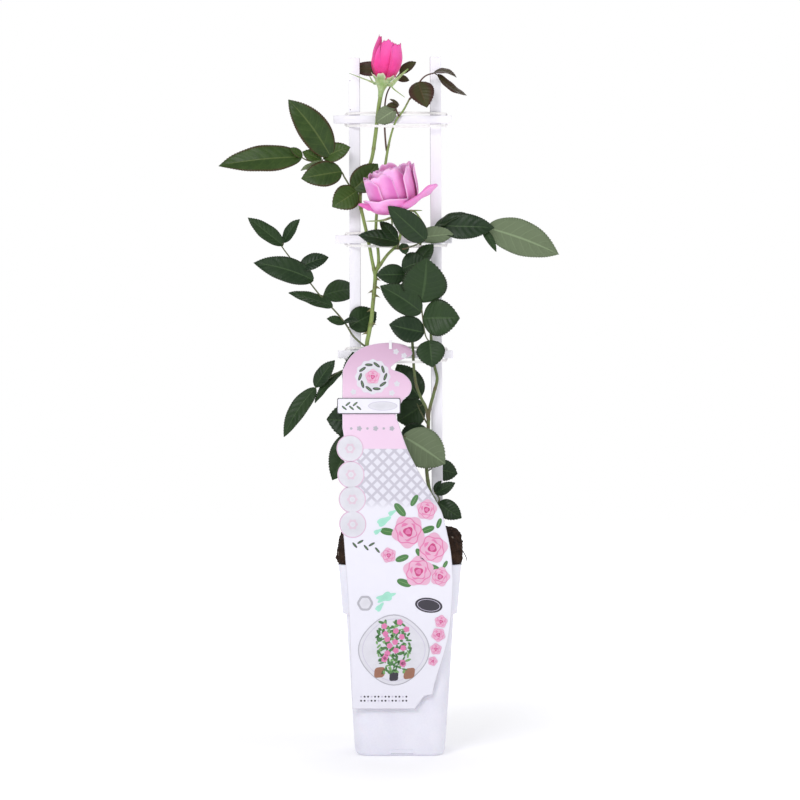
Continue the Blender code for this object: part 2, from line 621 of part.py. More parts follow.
def make_tag():
    left = []
    badges = iter(BADGES)
    for entry in TAG_LEFT:
        if entry == "badge":
            left += badge_arc(*next(badges))
        else:
            left.append(entry)
    make_card("tag", left, TAG_RIGHT, [z for z, y in TAG_PROFILE[1:-1]], TAG_THICK, 0.0, "printed card")
    middle = (BAND_LOW + BAND_HIGH) / 2
    sides = [[(x, BAND_LOW), (x, BAND_HIGH)] for x in (BAND_LEFT, BAND_RIGHT)]
    make_card("tag_band", sides[0], sides[1], [middle], 0.9, 1.15, "white plastic")


def make_tag_tie():
    """A flat hook that holds the card's top edge and clips over the low slat."""
    height = SLATS["low"][2] + SLAT_HEIGHT / 2
    side = [(card_front(400.5) - 1.7, 400.5), (card_front(409.5) - 1.7, 409.5), (-1.0, 409.5),
            (-1.0, height - 6),
            (-1.9, height - 6), (-1.9, 408.4), (card_front(408.4) - 0.8, 408.4),
            (card_front(400.5) - 0.8, 400.5)]
    rings = [[(x, y, z) for y, z in side] for x in (-11.0, -8.0)]
    hook = loft("tag_tie", rings, "white plastic")
    face_outward(hook)


def thorn(cane, height, side, length):
    """A hooked thorn rooted in the cane at a height."""
    point = min(cane, key=lambda p: abs(p[2] - height))
    x, y, z, radius = point
    return tube("thorn", [(x + side * radius * 0.3, y - 0.4, z + 0.6, 1.5),
                          (x + side * (radius + length * 0.4), y - 0.8, z + 0.6, 0.8),
                          (x + side * (radius + length), y - 1.2, z - 0.7, 0.15)], "green cane", 4)


def make_canes():
    left = smooth_path(CANE_LEFT, 2)
    pieces = [tube("cane", left, "green cane", 6)]
    pieces += [tube("shoot", shoot, "green cane", 6) for shoot in (SHOOT_BUD, SHOOT_TOP, SHOOT_BLOOM)]
    pieces += [thorn(left, *row) for row in THORNS]
    fuse(pieces, "cane_left")
    pieces = [tube("cane", smooth_path(CANE_RIGHT, 2), "green cane", 6)]
    pieces.append(tube("shoot", SHOOT_RIGHT, "green cane", 6))
    fuse(pieces, "cane_right")


def leaf_width(t):
    """Half width of a leaflet along its midrib, 1 at its widest."""
    return math.sin(math.pi * t ** 0.84) ** 0.62 * (1 - 0.22 * t ** 4)


def leaf_frame(base, tip, roll):
    """Along, across and facing directions of a leaflet turned about its midrib."""
    along = (tip - base).normalized()
    front = Vector((0, -1, 0))
    front = (front - along * front.dot(along)).normalized()
    up = along.cross(front)
    if up.z < 0:
        up = -up
    turn = math.radians(roll)
    facing = front * math.cos(turn) + up * math.sin(turn)
    return along, facing.cross(along), facing


def leaflet(base, tip, width, roll, arch, finish):
    """A serrated leaflet: a midrib row and two toothed edges, arched along it and folded at the midrib."""
    base, tip = Vector(base), Vector(tip)
    length = (tip - base).length
    along, across, facing = leaf_frame(base, tip, roll)
    teeth = TEETH
    if length < SHORT_LEAFLET:
        teeth = TINY_TEETH if length < TINY_LEAFLET else SHORT_TEETH
    rib, edge = [], []
    for step in range(teeth + 1):
        rib.append((step / teeth, 0.0))
    for tooth in range(teeth):
        edge.append((tooth / teeth, leaf_width(tooth / teeth)))
        late = (tooth + 0.86) / teeth
        edge.append((late + 0.03 * (1 - late), leaf_width(late) + 0.09))
    edge = edge[1:]
    points = []
    for t, out in rib + [(t, w) for t, w in edge] + [(t, -w) for t, w in edge]:
        lift = arch * length * 4 * t * (1 - t) + 0.06 * width * abs(out)
        points.append(base + along * (t * length) + across * (out * width / 2) + facing * lift)
    count, side = len(rib), len(edge)
    triangles = []
    for start, flip in ((count, False), (count + side, True)):
        row = [0] + [start + index for index in range(side)] + [count - 1]
        for tooth in range(teeth):
            a, b = tooth, tooth + 1
            first, second = row[2 * tooth], row[2 * tooth + 1]
            third = row[2 * tooth + 2]
            faces = [(a, second, b), (b, second, third)]
            if first != a:
                faces.insert(0, (a, first, second))
            if third == b:
                faces.pop()
            triangles += [tuple(reversed(face)) if flip else face for face in faces]
    sheet = thick_sheet("leaflet", points, triangles, BLADE_THICK, finish)
    face_outward(sheet)
    return sheet


def nearest_on(path, point):
    return min(path, key=lambda other: (Vector(other) - point).length)


def seat(joint, toward):
    """Where a stalk that leaves a cane's centre line toward a point clears the cane's surface."""
    canes = CANE_LEFT + CANE_RIGHT + SHOOT_BUD + SHOOT_TOP + SHOOT_BLOOM + SHOOT_RIGHT
    radius = min(canes, key=lambda point: (Vector(point[:3]) - joint).length)[3]
    way = toward - joint
    slope = abs(way.z) / way.length
    way.z = 0.0
    return tuple(joint + way.normalized() * (radius + CLEARANCE + STALK_RADIUS * 1.2 * slope))


def make_leaf(name, joint, stalk, leaflets):
    """A compound leaf whose stalk ends just off the cane that carries it."""
    finish = "young leaf" if name in ("leaf_top_right", "leaf_top_young",
                                      "leaf_behind_bud") else "rose leaf"
    stalk = [seat(Vector(joint), Vector(stalk[1])), *stalk[1:]]
    path = smooth_path(stalk, 1 if len(stalk) > 6 else 2)
    count = len(path)
    radii = [STALK_RADIUS * (1.25 - 0.5 * index / count) for index in range(count)]
    pieces = [tube("stalk", [(*point, radius) for point, radius in zip(path, radii)], finish, 4)]
    for base, tip, width, roll, arch in leaflets:
        base, tip = Vector(base), Vector(tip)
        start = Vector(nearest_on(path, base))
        if (start - base).length < 1.3:
            pieces.append(leaflet(start, tip, width, roll, arch, finish))
            continue
        pieces.append(leaflet(base, tip, width, roll, arch, finish))
        reach = 2.4
        end = base + (tip - base).normalized() * reach
        end += leaf_frame(base, tip, roll)[2] * (arch * 3.2 * reach)
        pieces.append(tube("leaf foot", [(*start, 0.65), (*end, 0.42)], finish, 3))
    fuse(pieces, name)


def petal_point(base, frame, petal, u, v):
    """A point of a cupped petal: u from -1 to 1 across it, v from 0 at its foot to 1 at its rim."""
    azimuth, span, radius, height, closing, roll = petal
    axis, front, side = frame
    v = v * (1 - 0.12 * abs(u) ** 3)
    angle = math.radians(azimuth + u * span * (0.55 + 0.45 * math.sin(math.pi * min(v, 0.8) / 1.6)))
    bend = math.radians(closing) * (0.1 + 0.9 * v)
    curl = max(0.0, v - 0.75) / 0.25
    reach = radius * math.sin(bend) + roll * curl ** 2
    share = (1 - math.cos(bend)) / (1 - math.cos(math.radians(closing)))
    rise = height * share ** 1.4 - 0.6 * roll * curl ** 3
    return base + axis * rise + (front * math.cos(angle) + side * math.sin(angle)) * reach


def flower_frame(axis):
    """Axis, front and right directions of a flower."""
    axis = Vector(axis).normalized()
    front = Vector((0, -1, 0))
    front = (front - axis * front.dot(axis)).normalized()
    return axis, front, axis.cross(front)


def grid_sheet(name, place, across, along, thickness, finish):
    """A sheet from a function of two parameters on a grid."""
    points = [place(-1 + 2 * i / across, j / along) for j in range(along + 1) for i in range(across + 1)]
    triangles = []
    for j in range(along):
        for i in range(across):
            a = j * (across + 1) + i
            b, c, d = a + 1, a + across + 2, a + across + 1
            triangles += [(a, b, c), (a, c, d)]
    sheet = thick_sheet(name, points, triangles, thickness, finish)
    face_outward(sheet)
    return sheet


def make_bloom():
    base = Vector(BLOOM_BASE)
    frame = flower_frame(BLOOM_AXIS)
    pieces = []
    core = [(*(base + frame[0] * rise), radius) for rise,
            radius in ((0.4, 2.6), (2.0, 6.8), (5.0, 9.0), (11.0, 9.0), (21.0, 5.6), (32.0, 3.6))]
    pieces.append(tube("core", core, "pale pink petal", 8))
    for index, petal in enumerate(BLOOM_PETALS):
        parts = 3 if index < 12 else 4
        pieces.append(grid_sheet("petal", lambda u, v: petal_point(base, frame, petal, u, v), parts, parts,
                                 PETAL_THICK, "pale pink petal"))
    fuse(pieces, "bloom_petals")
    axis = frame[0]
    hip = [(*(base + axis * rise), radius) for rise,
           radius in ((-6.4, 1.8), (-4.5, 3.4), (-2.0, 3.9), (-0.2, 2.6))]
    pieces = [tube("hip", hip, "calyx green", 8)]
    pieces += [sepal(base, frame, 2.6, *row) for row in BLOOM_SEPALS]
    fuse(pieces, "bloom_calyx")


def sepal(base, frame, hip, azimuth, middle, end, width):
    """A narrow pointed strip that leaves the hip and runs out through two points."""
    axis, front, side = frame
    out = front * math.cos(math.radians(azimuth)) + side * math.sin(math.radians(azimuth))
    route = [(0.4, -2.2), (hip + 2.5, -3.0), middle, end]
    path = [Vector(point) for point in smooth_path([tuple(base + axis * rise + out * reach) for reach,
                                                    rise in route], 2)]
    along = directions(path)
    points, triangles = [], []
    for index, (centre, heading) in enumerate(zip(path, along)):
        t = index / (len(path) - 1)
        half = width / 2 * (1.12 - t) ** 0.7 * min(1.0, 0.25 + 1.3 * t)
        across = heading.cross(axis * 0.4 - Vector((0, 1, 0))).normalized() * half
        points += [centre - across, centre + across]
        if index:
            a = 2 * index
            triangles += [(a - 2, a - 1, a + 1), (a - 2, a + 1, a)]
    sheet = thick_sheet("sepal", points, triangles, BLADE_THICK, "calyx green")
    face_outward(sheet)
    return sheet


def bud_point(base, frame, petal, u, v):
    """A point of a petal wrapped round the bud, whose left edge lies under and right edge over."""
    azimuth, span, inset, tall = petal
    axis, front, side = frame
    angle = math.radians(azimuth + u * span)
    reach = ring_offset(v, BUD_PROFILE) - inset
    top = 1 - 0.10 * abs(u) ** 2 + 0.02 * math.cos(9 * u)
    out = front * math.cos(angle) + side * math.sin(angle)
    return base + axis * (BUD_HEIGHT * tall * v * top) + out * reach


def make_bud():
    base = Vector(BUD_BASE)
    frame = flower_frame(BUD_AXIS)
    axis = frame[0]
    core = [(*(base + axis * rise), radius) for rise, radius in BUD_CORE]
    pieces = [tube("core", core, "deep pink petal", 8)]
    for petal in BUD_PETALS:
        pieces.append(grid_sheet("petal", lambda u, v: bud_point(base, frame, petal, u, v), 5, 4,
                                 PETAL_THICK,
                                 "deep pink petal"))
    fuse(pieces, "bud_petals")
    hip = [(*(base + axis * rise), radius)
           for rise, radius in ((-15.2, 2.3), (-10.5, 3.0), (-6.5, 4.8), (-3.0, 6.4), (-0.8, 6.2))]
    pieces = [tube("hip", hip, "calyx green", 8)]
    pieces += [sepal(base, frame, 6.2, *row) for row in BUD_SEPALS]
    fuse(pieces, "bud_calyx")


def cane_hole(points):
    """A straight-sided hole round the stretch of a cane that stands in the soil."""
    foot, head = points[0], points[1]
    direction = Vector(head[:3]) - Vector(foot[:3])
    radius = max(foot[3], head[3]) + 0.5
    low = Vector(foot[:3]) - direction * 0.02
    high = Vector(foot[:3]) + direction * 1.3
    return tube("hole", [(*low, radius), (*high, radius)], "peat", 8)


def make_trellis():
    for name, (foot, head) in STAKES.items():
        soften(lath(name, foot, head), 0.5)
    for place, (left, right, height) in SLATS.items():
        make_slat(place, left, right, height)
        make_tie(place, height)


def main():
    clear_scene()
    make_pot()
    holes = [lath("hole", (foot[0], foot[1], foot[2] - CLEARANCE), head, CLEARANCE, "peat") for foot,
             head in STAKES.values()]
    holes += [cane_hole(cane) for cane in (CANE_LEFT, CANE_RIGHT)]
    make_soil(holes)
    make_trellis()
    make_tag()
    make_tag_tie()
    make_canes()
    for name, (joint, stalk, leaflets) in LEAVES.items():
        make_leaf(name, joint, stalk, leaflets)
    make_bloom()
    make_bud()


main()
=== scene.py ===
import math
import bpy
import numpy as np
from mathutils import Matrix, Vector


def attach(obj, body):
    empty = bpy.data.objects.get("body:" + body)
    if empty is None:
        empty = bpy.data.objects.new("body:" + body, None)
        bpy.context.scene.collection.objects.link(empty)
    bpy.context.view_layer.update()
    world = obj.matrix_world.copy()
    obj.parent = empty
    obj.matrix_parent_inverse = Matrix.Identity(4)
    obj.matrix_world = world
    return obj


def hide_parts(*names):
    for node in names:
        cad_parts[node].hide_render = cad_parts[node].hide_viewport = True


# A climbing rose tied to a white lath trellis in its pot. Lengths in the
# dictionaries are millimetres from the centre of the pot's underside.
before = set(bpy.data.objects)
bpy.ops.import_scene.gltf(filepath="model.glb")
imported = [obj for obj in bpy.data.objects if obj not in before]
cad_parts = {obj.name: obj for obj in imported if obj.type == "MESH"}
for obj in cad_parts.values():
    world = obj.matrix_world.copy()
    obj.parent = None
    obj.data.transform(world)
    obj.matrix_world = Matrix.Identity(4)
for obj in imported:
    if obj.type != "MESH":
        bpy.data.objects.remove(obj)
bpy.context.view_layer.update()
mm = 0.001
rng = np.random.default_rng(11)
print("frame loaded")


# Camera, at a distance and height judged from the photo, and the light

viewSettings = {"distance": 2.4, "height": 0.35, "lens": 108, "floorSize": 9.0,
                "ambient": 0.58, "floorGlow": (0.1, 1.6, 0.20, 0.75)}


def makeStage(look):
    camera = bpy.data.cameras.new("camera")
    camera.lens = look["lens"]
    camera.clip_end = 60
    holder = bpy.data.objects.new("camera", camera)
    holder.location = (0, -look["distance"], look["height"])
    holder.rotation_euler = (math.radians(90), 0, 0)
    bpy.context.scene.collection.objects.link(holder)
    bpy.context.scene.camera = holder
    half = look["floorSize"] / 2
    mesh = bpy.data.meshes.new("floor")
    mesh.from_pydata([(-half, -half, 0), (half, -half, 0), (half, half, 0), (-half, half, 0)], [],
                     [(0, 1, 2, 3)])
    floor = bpy.data.objects.new("floor", mesh)
    bpy.context.scene.collection.objects.link(floor)
    paint = bpy.data.materials.new("pale floor")
    paint.use_nodes = True
    shader = paint.node_tree.nodes["Principled BSDF"]
    shader.inputs["Base Color"].default_value = (0.93, 0.93, 0.94, 1)
    shader.inputs["Roughness"].default_value = 0.9
    shader.inputs["Emission Color"].default_value = (1, 1, 1, 1)
    tree = paint.node_tree
    reach = tree.nodes.new("ShaderNodeVectorMath")
    reach.operation = "LENGTH"
    tree.links.new(tree.nodes.new("ShaderNodeTexCoord").outputs["Object"], reach.inputs[0])
    glow = tree.nodes.new("ShaderNodeMapRange")
    for place, value in zip((1, 2, 3, 4), look["floorGlow"]):
        glow.inputs[place].default_value = value
    tree.links.new(reach.outputs["Value"], glow.inputs[0])
    tree.links.new(glow.outputs[0], shader.inputs["Emission Strength"])
    mesh.materials.append(paint)
    world = bpy.data.worlds.new("studio")
    world.use_nodes = True
    nodes, links = world.node_tree.nodes, world.node_tree.links
    ambient, shown = nodes["Background"], nodes.new("ShaderNodeBackground")
    ambient.inputs["Strength"].default_value = look["ambient"]
    shown.inputs["Color"].default_value = (1.0, 1.0, 1.0, 1)
    ambient.inputs["Color"].default_value = (0.97, 0.97, 1.0, 1)
    ray, either = nodes.new("ShaderNodeLightPath"), nodes.new("ShaderNodeMixShader")
    links.new(ray.outputs["Is Camera Ray"], either.inputs[0])
    links.new(ambient.outputs[0], either.inputs[1])
    links.new(shown.outputs[0], either.inputs[2])
    links.new(either.outputs[0], nodes["World Output"].inputs["Surface"])
    bpy.context.scene.world = world
    for name, place, size, power in (
            ("front light", (-0.7, -2.0, 1.5), 0.8, 19), ("side light", (1.6, -1.1, 1.0), 0.9, 4),
            ("top light", (0.1, 0.9, 1.9), 1.0, 6)):
        lamp = bpy.data.lights.new(name, "AREA")
        lamp.size = size
        lamp.energy = power
        light = bpy.data.objects.new(name, lamp)
        light.location = place
        light.rotation_euler = (Vector((0, 0, 0.35)) - Vector(place)).to_track_quat("-Z", "Y").to_euler()
        bpy.context.scene.collection.objects.link(light)
    bpy.context.scene.view_settings.view_transform = "Standard"


makeStage(viewSettings)
print("camera and lights placed")


# Surfaces as arrays

# Catmull-Rom curve: each span between two points is a cubic that passes
# through both and leaves along the line between their neighbours.
def smoothPath(points, steps):
    p = np.asarray(points, float)
    p = np.vstack([p[:1], p, p[-1:]])
    b, s, e, a = (q[:, None, :] for q in (p[:-3], p[1:-2], p[2:-1], p[3:]))
    t = (np.arange(steps) / steps)[None, :, None]
    square = 2 * b - 5 * s + 4 * e - a
    cube = 3 * s - 3 * e + a - b
    curve = 0.5 * (2 * s + (e - b) * t + square * t ** 2 + cube * t ** 3)
    return np.vstack([curve.reshape(-1, p.shape[1]), p[-1:]])


def unit(v):
    return v / np.maximum(np.linalg.norm(v, axis=-1, keepdims=True), 1e-9)


# A grid of points to quads; wrapU joins the last column to the first.
def gridQuads(rows, cols, wrapU=False):
    j, i = np.meshgrid(np.arange(rows - 1), np.arange(cols if wrapU else cols - 1), indexing="ij")
    after = (i + 1) % cols
    return np.stack([j * cols + i, j * cols + after, (j + 1) * cols + after, (j + 1) * cols + i],
                    -1).reshape(-1, 4)


# Closed sheet round a middle surface P(v, u): P + n h and P - n h, where n is
# dP/du x dP/dv scaled to one, with a strip of quads round the rim.
def sheetPart(points, half, uv, tone=0.5, material=0, extra=None):
    rows, cols = points.shape[:2]
    du = np.gradient(points, axis=1)
    dv = np.gradient(points, axis=0)
    normal = unit(np.cross(du, dv))
    halves = np.broadcast_to(half, (rows, cols))[..., None]
    top = (points + normal * halves).reshape(-1, 3)
    low = (points - normal * halves).reshape(-1, 3)
    count = rows * cols
    face = gridQuads(rows, cols)
    index = np.arange(count).reshape(rows, cols)
    loop = np.concatenate([index[0, :-1], index[:-1, -1], index[-1, :0:-1], index[:0:-1, 0]])
    after = np.roll(loop, -1)
    strip = np.stack([after, loop, loop + count, after + count], -1)
    flatUv = uv.reshape(-1, 2)
    return {"points": np.vstack([top, low]), "quads": np.vstack([face, face[:, ::-1] + count, strip]),
            "tris": np.zeros((0, 3), int), "uv": np.vstack([flatUv, flatUv]),
            "under": np.concatenate([np.zeros(count), np.ones(count)]),
            "tone": np.tile(np.broadcast_to(tone, (rows, cols)).reshape(-1), 2),
            "extra": np.zeros(2 * count) if extra is None else np.tile(extra.reshape(-1), 2),
            "material": material}


# Round body: a ring of the given radius carried square to a path, closed by a
# fan at each end. For an oval, flat is its outward radius over its radius across.
def tubePart(path, radius, sides=12, material=0, tone=0.5, flat=1.0, reference=(0.25, 1.0, 0.15)):
    path = np.asarray(path, float)
    heading = unit(np.gradient(path, axis=0))
    across = unit(np.cross(heading, np.asarray(reference, float)))
    other = np.cross(heading, across)
    turn = np.arange(sides) / sides * math.tau
    outward = (flat * np.sin(turn))[None, :, None]
    ring = across[:, None] * np.cos(turn)[None, :, None] + other[:, None] * outward
    radii = np.asarray(radius, float)
    radii = radii if radii.ndim == 2 else np.broadcast_to(radii.reshape(-1, 1), (len(path), sides))
    points = (path[:, None] + ring * radii[..., None]).reshape(-1, 3)
    count = len(points)
    points = np.vstack([points, path[:1], path[-1:]])
    side = np.arange(sides)
    after = (side + 1) % sides
    last = (len(path) - 1) * sides
    tris = np.vstack([np.stack([np.full(sides, count), after, side], -1),
                      np.stack([np.full(sides, count + 1), last + side, last + after], -1)])
    length = np.concatenate([[0], np.cumsum(np.linalg.norm(np.diff(path, axis=0), axis=1))])
    uv = np.stack(np.broadcast_arrays((side / sides)[None, :], length[:, None] / 10), -1).reshape(-1, 2)
    uv = np.vstack([uv, uv[:1], uv[-1:]])
    total = len(points)
    return {"points": points, "quads": gridQuads(len(path), sides, True), "tris": tris, "uv": uv,
            "under": np.zeros(total), "tone": np.full(total, tone), "extra": np.zeros(total),
            "material": material}


# Closed shell of rings P(row, side): neighbouring rings are joined by quads
# and the first and last are closed by fans at their middles.
def shellPart(points, material=0, uv=None):
    rows, sides = points.shape[:2]
    count = rows * sides
    side = np.arange(sides)
    after = (side + 1) % sides
    last = count - sides
    tris = np.vstack([np.stack([np.full(sides, count), after, side], -1),
                      np.stack([np.full(sides, count + 1), last + side, last + after], -1)])
    flat = np.vstack([points.reshape(-1, 3), points[0].mean(0)[None], points[-1].mean(0)[None]])
    total = count + 2
    flatUv = np.zeros((total, 2))
    if uv is not None:
        flatUv = np.vstack([uv.reshape(-1, 2), uv[0].mean(0)[None], uv[-1].mean(0)[None]])
    return {"points": flat, "quads": gridQuads(rows, sides, True), "tris": tris, "uv": flatUv,
            "under": np.zeros(total), "tone": np.full(total, 0.5), "extra": np.zeros(total),
            "material": material}


def makePiece(name, parts, materials, nodes=(), smooth=True):
    counts = np.cumsum([0] + [len(part["points"]) for part in parts])
    points = np.vstack([part["points"] for part in parts]) * mm
    quads = np.vstack([part["quads"] + start for part, start in zip(parts, counts)])
    tris = np.vstack([part["tris"] + start for part, start in zip(parts, counts)])
    mesh = bpy.data.meshes.new(name)
    mesh.from_pydata(points.tolist(), [], quads.tolist() + tris.tolist())
    corner = np.zeros(len(mesh.loops), np.int32)
    mesh.loops.foreach_get("vertex_index", corner)
    uv = np.vstack([part["uv"] for part in parts])
    mesh.uv_layers.new(name="surface").data.foreach_set("uv", uv[corner].astype(np.float32).ravel())
    for key in ("under", "tone", "extra"):
        values = np.concatenate([part[key] for part in parts]).astype(np.float32)
        mesh.attributes.new(key, "FLOAT", "POINT").data.foreach_set("value", values)
    slots = [np.full(len(part[kind]), part["material"]) for kind in ("quads", "tris") for part in parts]
    slots = np.concatenate(slots).astype(np.int32)
    for paint in materials:
        mesh.materials.append(paint)
    mesh.polygons.foreach_set("material_index", slots)
    mesh.polygons.foreach_set("use_smooth", np.full(len(slots), smooth))
    mesh.update()
    piece = bpy.data.objects.new(name, mesh)
    bpy.context.scene.collection.objects.link(piece)
    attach(piece, "root")
    if nodes:
        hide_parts(*nodes)
    return piece


# Shader groups and small helpers

class Paint:
    def __init__(self, name, group=False):
        if group:
            self.tree = bpy.data.node_groups.new(name, "ShaderNodeTree")
        else:
            self.material = bpy.data.materials.new(name)
            self.material.use_nodes = True
            self.tree = self.material.node_tree
            self.shader = self.tree.nodes["Principled BSDF"]

    def node(self, kind, *links, **values):
        new = self.tree.nodes.new(kind)
        for key, value in values.items():
            setattr(new, key, value)
        for place, link in enumerate(links):
            self.feed(new.inputs[place], link)
        return new

    def feed(self, socket, link):
        if link is None:
            return
        if isinstance(link, bpy.types.NodeSocket):
            self.tree.links.new(link, socket)
        elif isinstance(link, tuple) and len(link) == 3 and socket.type == "RGBA":
            socket.default_value = (*link, 1)
        else:
            socket.default_value = link

    def maths(self, operation, a, b=None, c=None, clamp=False):
        return self.node("ShaderNodeMath", a, b, c, operation=operation, use_clamp=clamp).outputs[0]

    def mix(self, amount, a, b, blend="MIX"):
        new = self.tree.nodes.new("ShaderNodeMix")
        new.data_type = "RGBA"
        new.blend_type = blend
        for socket, link in ((new.inputs[0], amount), (new.inputs[6], a), (new.inputs[7], b)):
            self.feed(socket, link)
        return new.outputs[2]

    def span(self, value, low, high, toLow=0.0, toHigh=1.0):
        new = self.tree.nodes.new("ShaderNodeMapRange")
        new.interpolation_type = "SMOOTHSTEP"
        for socket, link in zip(new.inputs[:5], (value, low, high, toLow, toHigh)):
            self.feed(socket, link)
        return new.outputs[0]

    def attribute(self, name):
        return self.node("ShaderNodeAttribute", attribute_name=name).outputs["Fac"]

    def surface(self):
        spread = self.node("ShaderNodeSeparateXYZ",
                           self.node("ShaderNodeUVMap", uv_map="surface").outputs[0])
        return spread.outputs[0], spread.outputs[1]

    def place(self):
        return self.node("ShaderNodeTexCoord").outputs["Object"]

    def noise(self, where, scale, detail=3.0, roughness=0.55):
        new = self.node("ShaderNodeTexNoise", where)
        new.inputs["Scale"].default_value = scale
        new.inputs["Detail"].default_value = detail
        new.inputs["Roughness"].default_value = roughness
        return new.outputs["Fac"]

    def bump(self, height, strength, distance=0.001, normal=None):
        new = self.tree.nodes.new("ShaderNodeBump")
        new.inputs["Strength"].default_value = strength
        new.inputs["Distance"].default_value = distance
        self.feed(new.inputs["Height"], height)
        self.feed(new.inputs["Normal"], normal)
        return new.outputs[0]

    def finish(self, colour=None, roughness=None, normal=None, **fixed):
        self.feed(self.shader.inputs["Base Color"], colour)
        self.feed(self.shader.inputs["Roughness"], roughness)
        self.feed(self.shader.inputs["Normal"], normal)
        for key, value in fixed.items():
            self.shader.inputs[key.replace("_", " ")].default_value = value
        return self.material


def newGroup(name, inputs, outputs):
    group = Paint(name, group=True)
    for word, kind, value in inputs:
        socket = group.tree.interface.new_socket(word, in_out="INPUT", socket_type=kind)
        if value is not None:
            socket.default_value = value
    for word, kind in outputs:
        group.tree.interface.new_socket(word, in_out="OUTPUT", socket_type=kind)
    group.start = group.tree.nodes.new("NodeGroupInput").outputs
    group.end = group.tree.nodes.new("NodeGroupOutput").inputs
    return group


def useGroup(paint, tree, **values):
    new = paint.tree.nodes.new("ShaderNodeGroup")
    new.node_tree = tree
    for key, value in values.items():
        paint.feed(new.inputs[key], value)
    return new.outputs


# Veins of a leaf: u runs across and v along; the midrib is at u = 0.5, and side
# veins leave it at even steps and bend towards the tip.
def makeVeinGroup():
    g = newGroup("leaf veins",
                 [("u", "NodeSocketFloat", 0.5), ("v", "NodeSocketFloat", 0.0),
                  ("pairs", "NodeSocketFloat", 8.0)],
                 [("veins", "NodeSocketFloat"), ("midrib", "NodeSocketFloat"), ("edge", "NodeSocketFloat"),
                  ("quilt", "NodeSocketFloat")])
    away = g.maths("ABSOLUTE", g.maths("MULTIPLY_ADD", g.start["u"], 2.0, -1.0))
    climb = g.maths("MULTIPLY", g.maths("POWER", away, 1.25), 1.5)
    phase = g.maths("FRACT",
                    g.maths("ADD", g.maths("SUBTRACT", g.maths("MULTIPLY", g.start["v"], g.start["pairs"]),
                                           climb), 4.0))
    ridge = g.maths("ABSOLUTE", g.maths("SUBTRACT", phase, 0.5))
    line = g.span(ridge, 0.08, 0.0)
    fade = g.span(away, 1.0, 0.55, 0.25, 1.0)
    g.feed(g.end["veins"], g.maths("MULTIPLY", line, fade))
    g.feed(g.end["midrib"], g.span(away, 0.085, 0.02))
    g.feed(g.end["edge"], away)
    g.feed(g.end["quilt"], g.span(ridge, 0.0, 0.5))
    return g.tree


# Slight unevenness that every surface carries: two noises mixed, as a mask
# from 0 to 1.
def makeMottleGroup():
    g = newGroup("mottle",
                 [("Vector", "NodeSocketVector", None), ("coarse", "NodeSocketFloat", 60.0),
                  ("fine", "NodeSocketFloat", 400.0)],
                 [("mask", "NodeSocketFloat"), ("grain", "NodeSocketFloat")])
    coarse = g.node("ShaderNodeTexNoise", g.start["Vector"])
    g.feed(coarse.inputs["Scale"], g.start["coarse"])
    fine = g.node("ShaderNodeTexNoise", g.start["Vector"])
    g.feed(fine.inputs["Scale"], g.start["fine"])
    g.feed(g.end["mask"], g.span(g.maths("MULTIPLY_ADD", fine.outputs["Fac"], 0.3,
                                         g.maths("MULTIPLY", coarse.outputs["Fac"], 0.7)),
                                 0.32, 0.68))
    g.feed(g.end["grain"], fine.outputs["Fac"])
    return g.tree


veinGroup = makeVeinGroup()
mottleGroup = makeMottleGroup()


leafLooks = {
    "rose leaf": {"dark": (0.005, 0.018, 0.006), "light": (0.020, 0.048, 0.011),
                  "vein": (0.055, 0.10, 0.035),
                  "margin": (0.02, 0.03, 0.014), "marginWidth": 1.05, "under": (0.13, 0.17, 0.095),
                  "rough": 0.34},
    "warm leaf": {"dark": (0.014, 0.036, 0.006), "light": (0.055, 0.105, 0.014), "vein": (0.11, 0.15, 0.04),
                  "margin": (0.06, 0.022, 0.010), "marginWidth": 0.99, "under": (0.13, 0.17, 0.08),
                  "rough": 0.34},
    "young leaf": {"dark": (0.040, 0.022, 0.010), "light": (0.050, 0.062, 0.012),
                   "vein": (0.085, 0.05, 0.02),
                   "margin": (0.050, 0.009, 0.010), "marginWidth": 0.55, "under": (0.16, 0.20, 0.115),
                   "rough": 0.38},
}


def makeLeafPaint(name, look):
    p = Paint(name)
    u, v = p.surface()
    veins = useGroup(p, veinGroup, u=u, v=v, pairs=8.0)
    mottle = useGroup(p, mottleGroup, Vector=p.place(), coarse=90.0, fine=900.0)
    top = p.mix(p.maths("MULTIPLY_ADD", p.attribute("tone"), 0.8, p.maths("MULTIPLY", mottle["mask"], 0.3)),
                look["dark"], look["light"])
    top = p.mix(p.maths("MULTIPLY", veins["veins"], 0.16), top, look["vein"])
    top = p.mix(p.maths("MULTIPLY", p.span(veins["edge"], look["marginWidth"] - 0.2, 1.0), 0.85), top,
                look["margin"])
    top = p.mix(p.maths("MULTIPLY", veins["midrib"], 0.55), top, look["vein"])
    under = p.mix(p.maths("MULTIPLY", veins["veins"], 0.4), look["under"],
                  tuple(c * 1.5 for c in look["under"]))
    under = p.mix(veins["midrib"], under, tuple(c * 1.6 for c in look["under"]))
    colour = p.mix(p.attribute("under"), top, under)
    height = p.maths("ADD", p.maths("MULTIPLY", veins["quilt"], 0.6),
                     p.maths("MULTIPLY", mottle["grain"], 0.25))
    height = p.maths("SUBTRACT", height, p.maths("MULTIPLY", veins["midrib"], 0.6))
    rough = p.maths("MULTIPLY_ADD", mottle["mask"], 0.16,
                    p.maths("MULTIPLY_ADD", p.attribute("under"), 0.25, look["rough"]))
    return p.finish(colour, rough, p.bump(height, 0.5, 0.0006), Specular_IOR_Level=0.26)


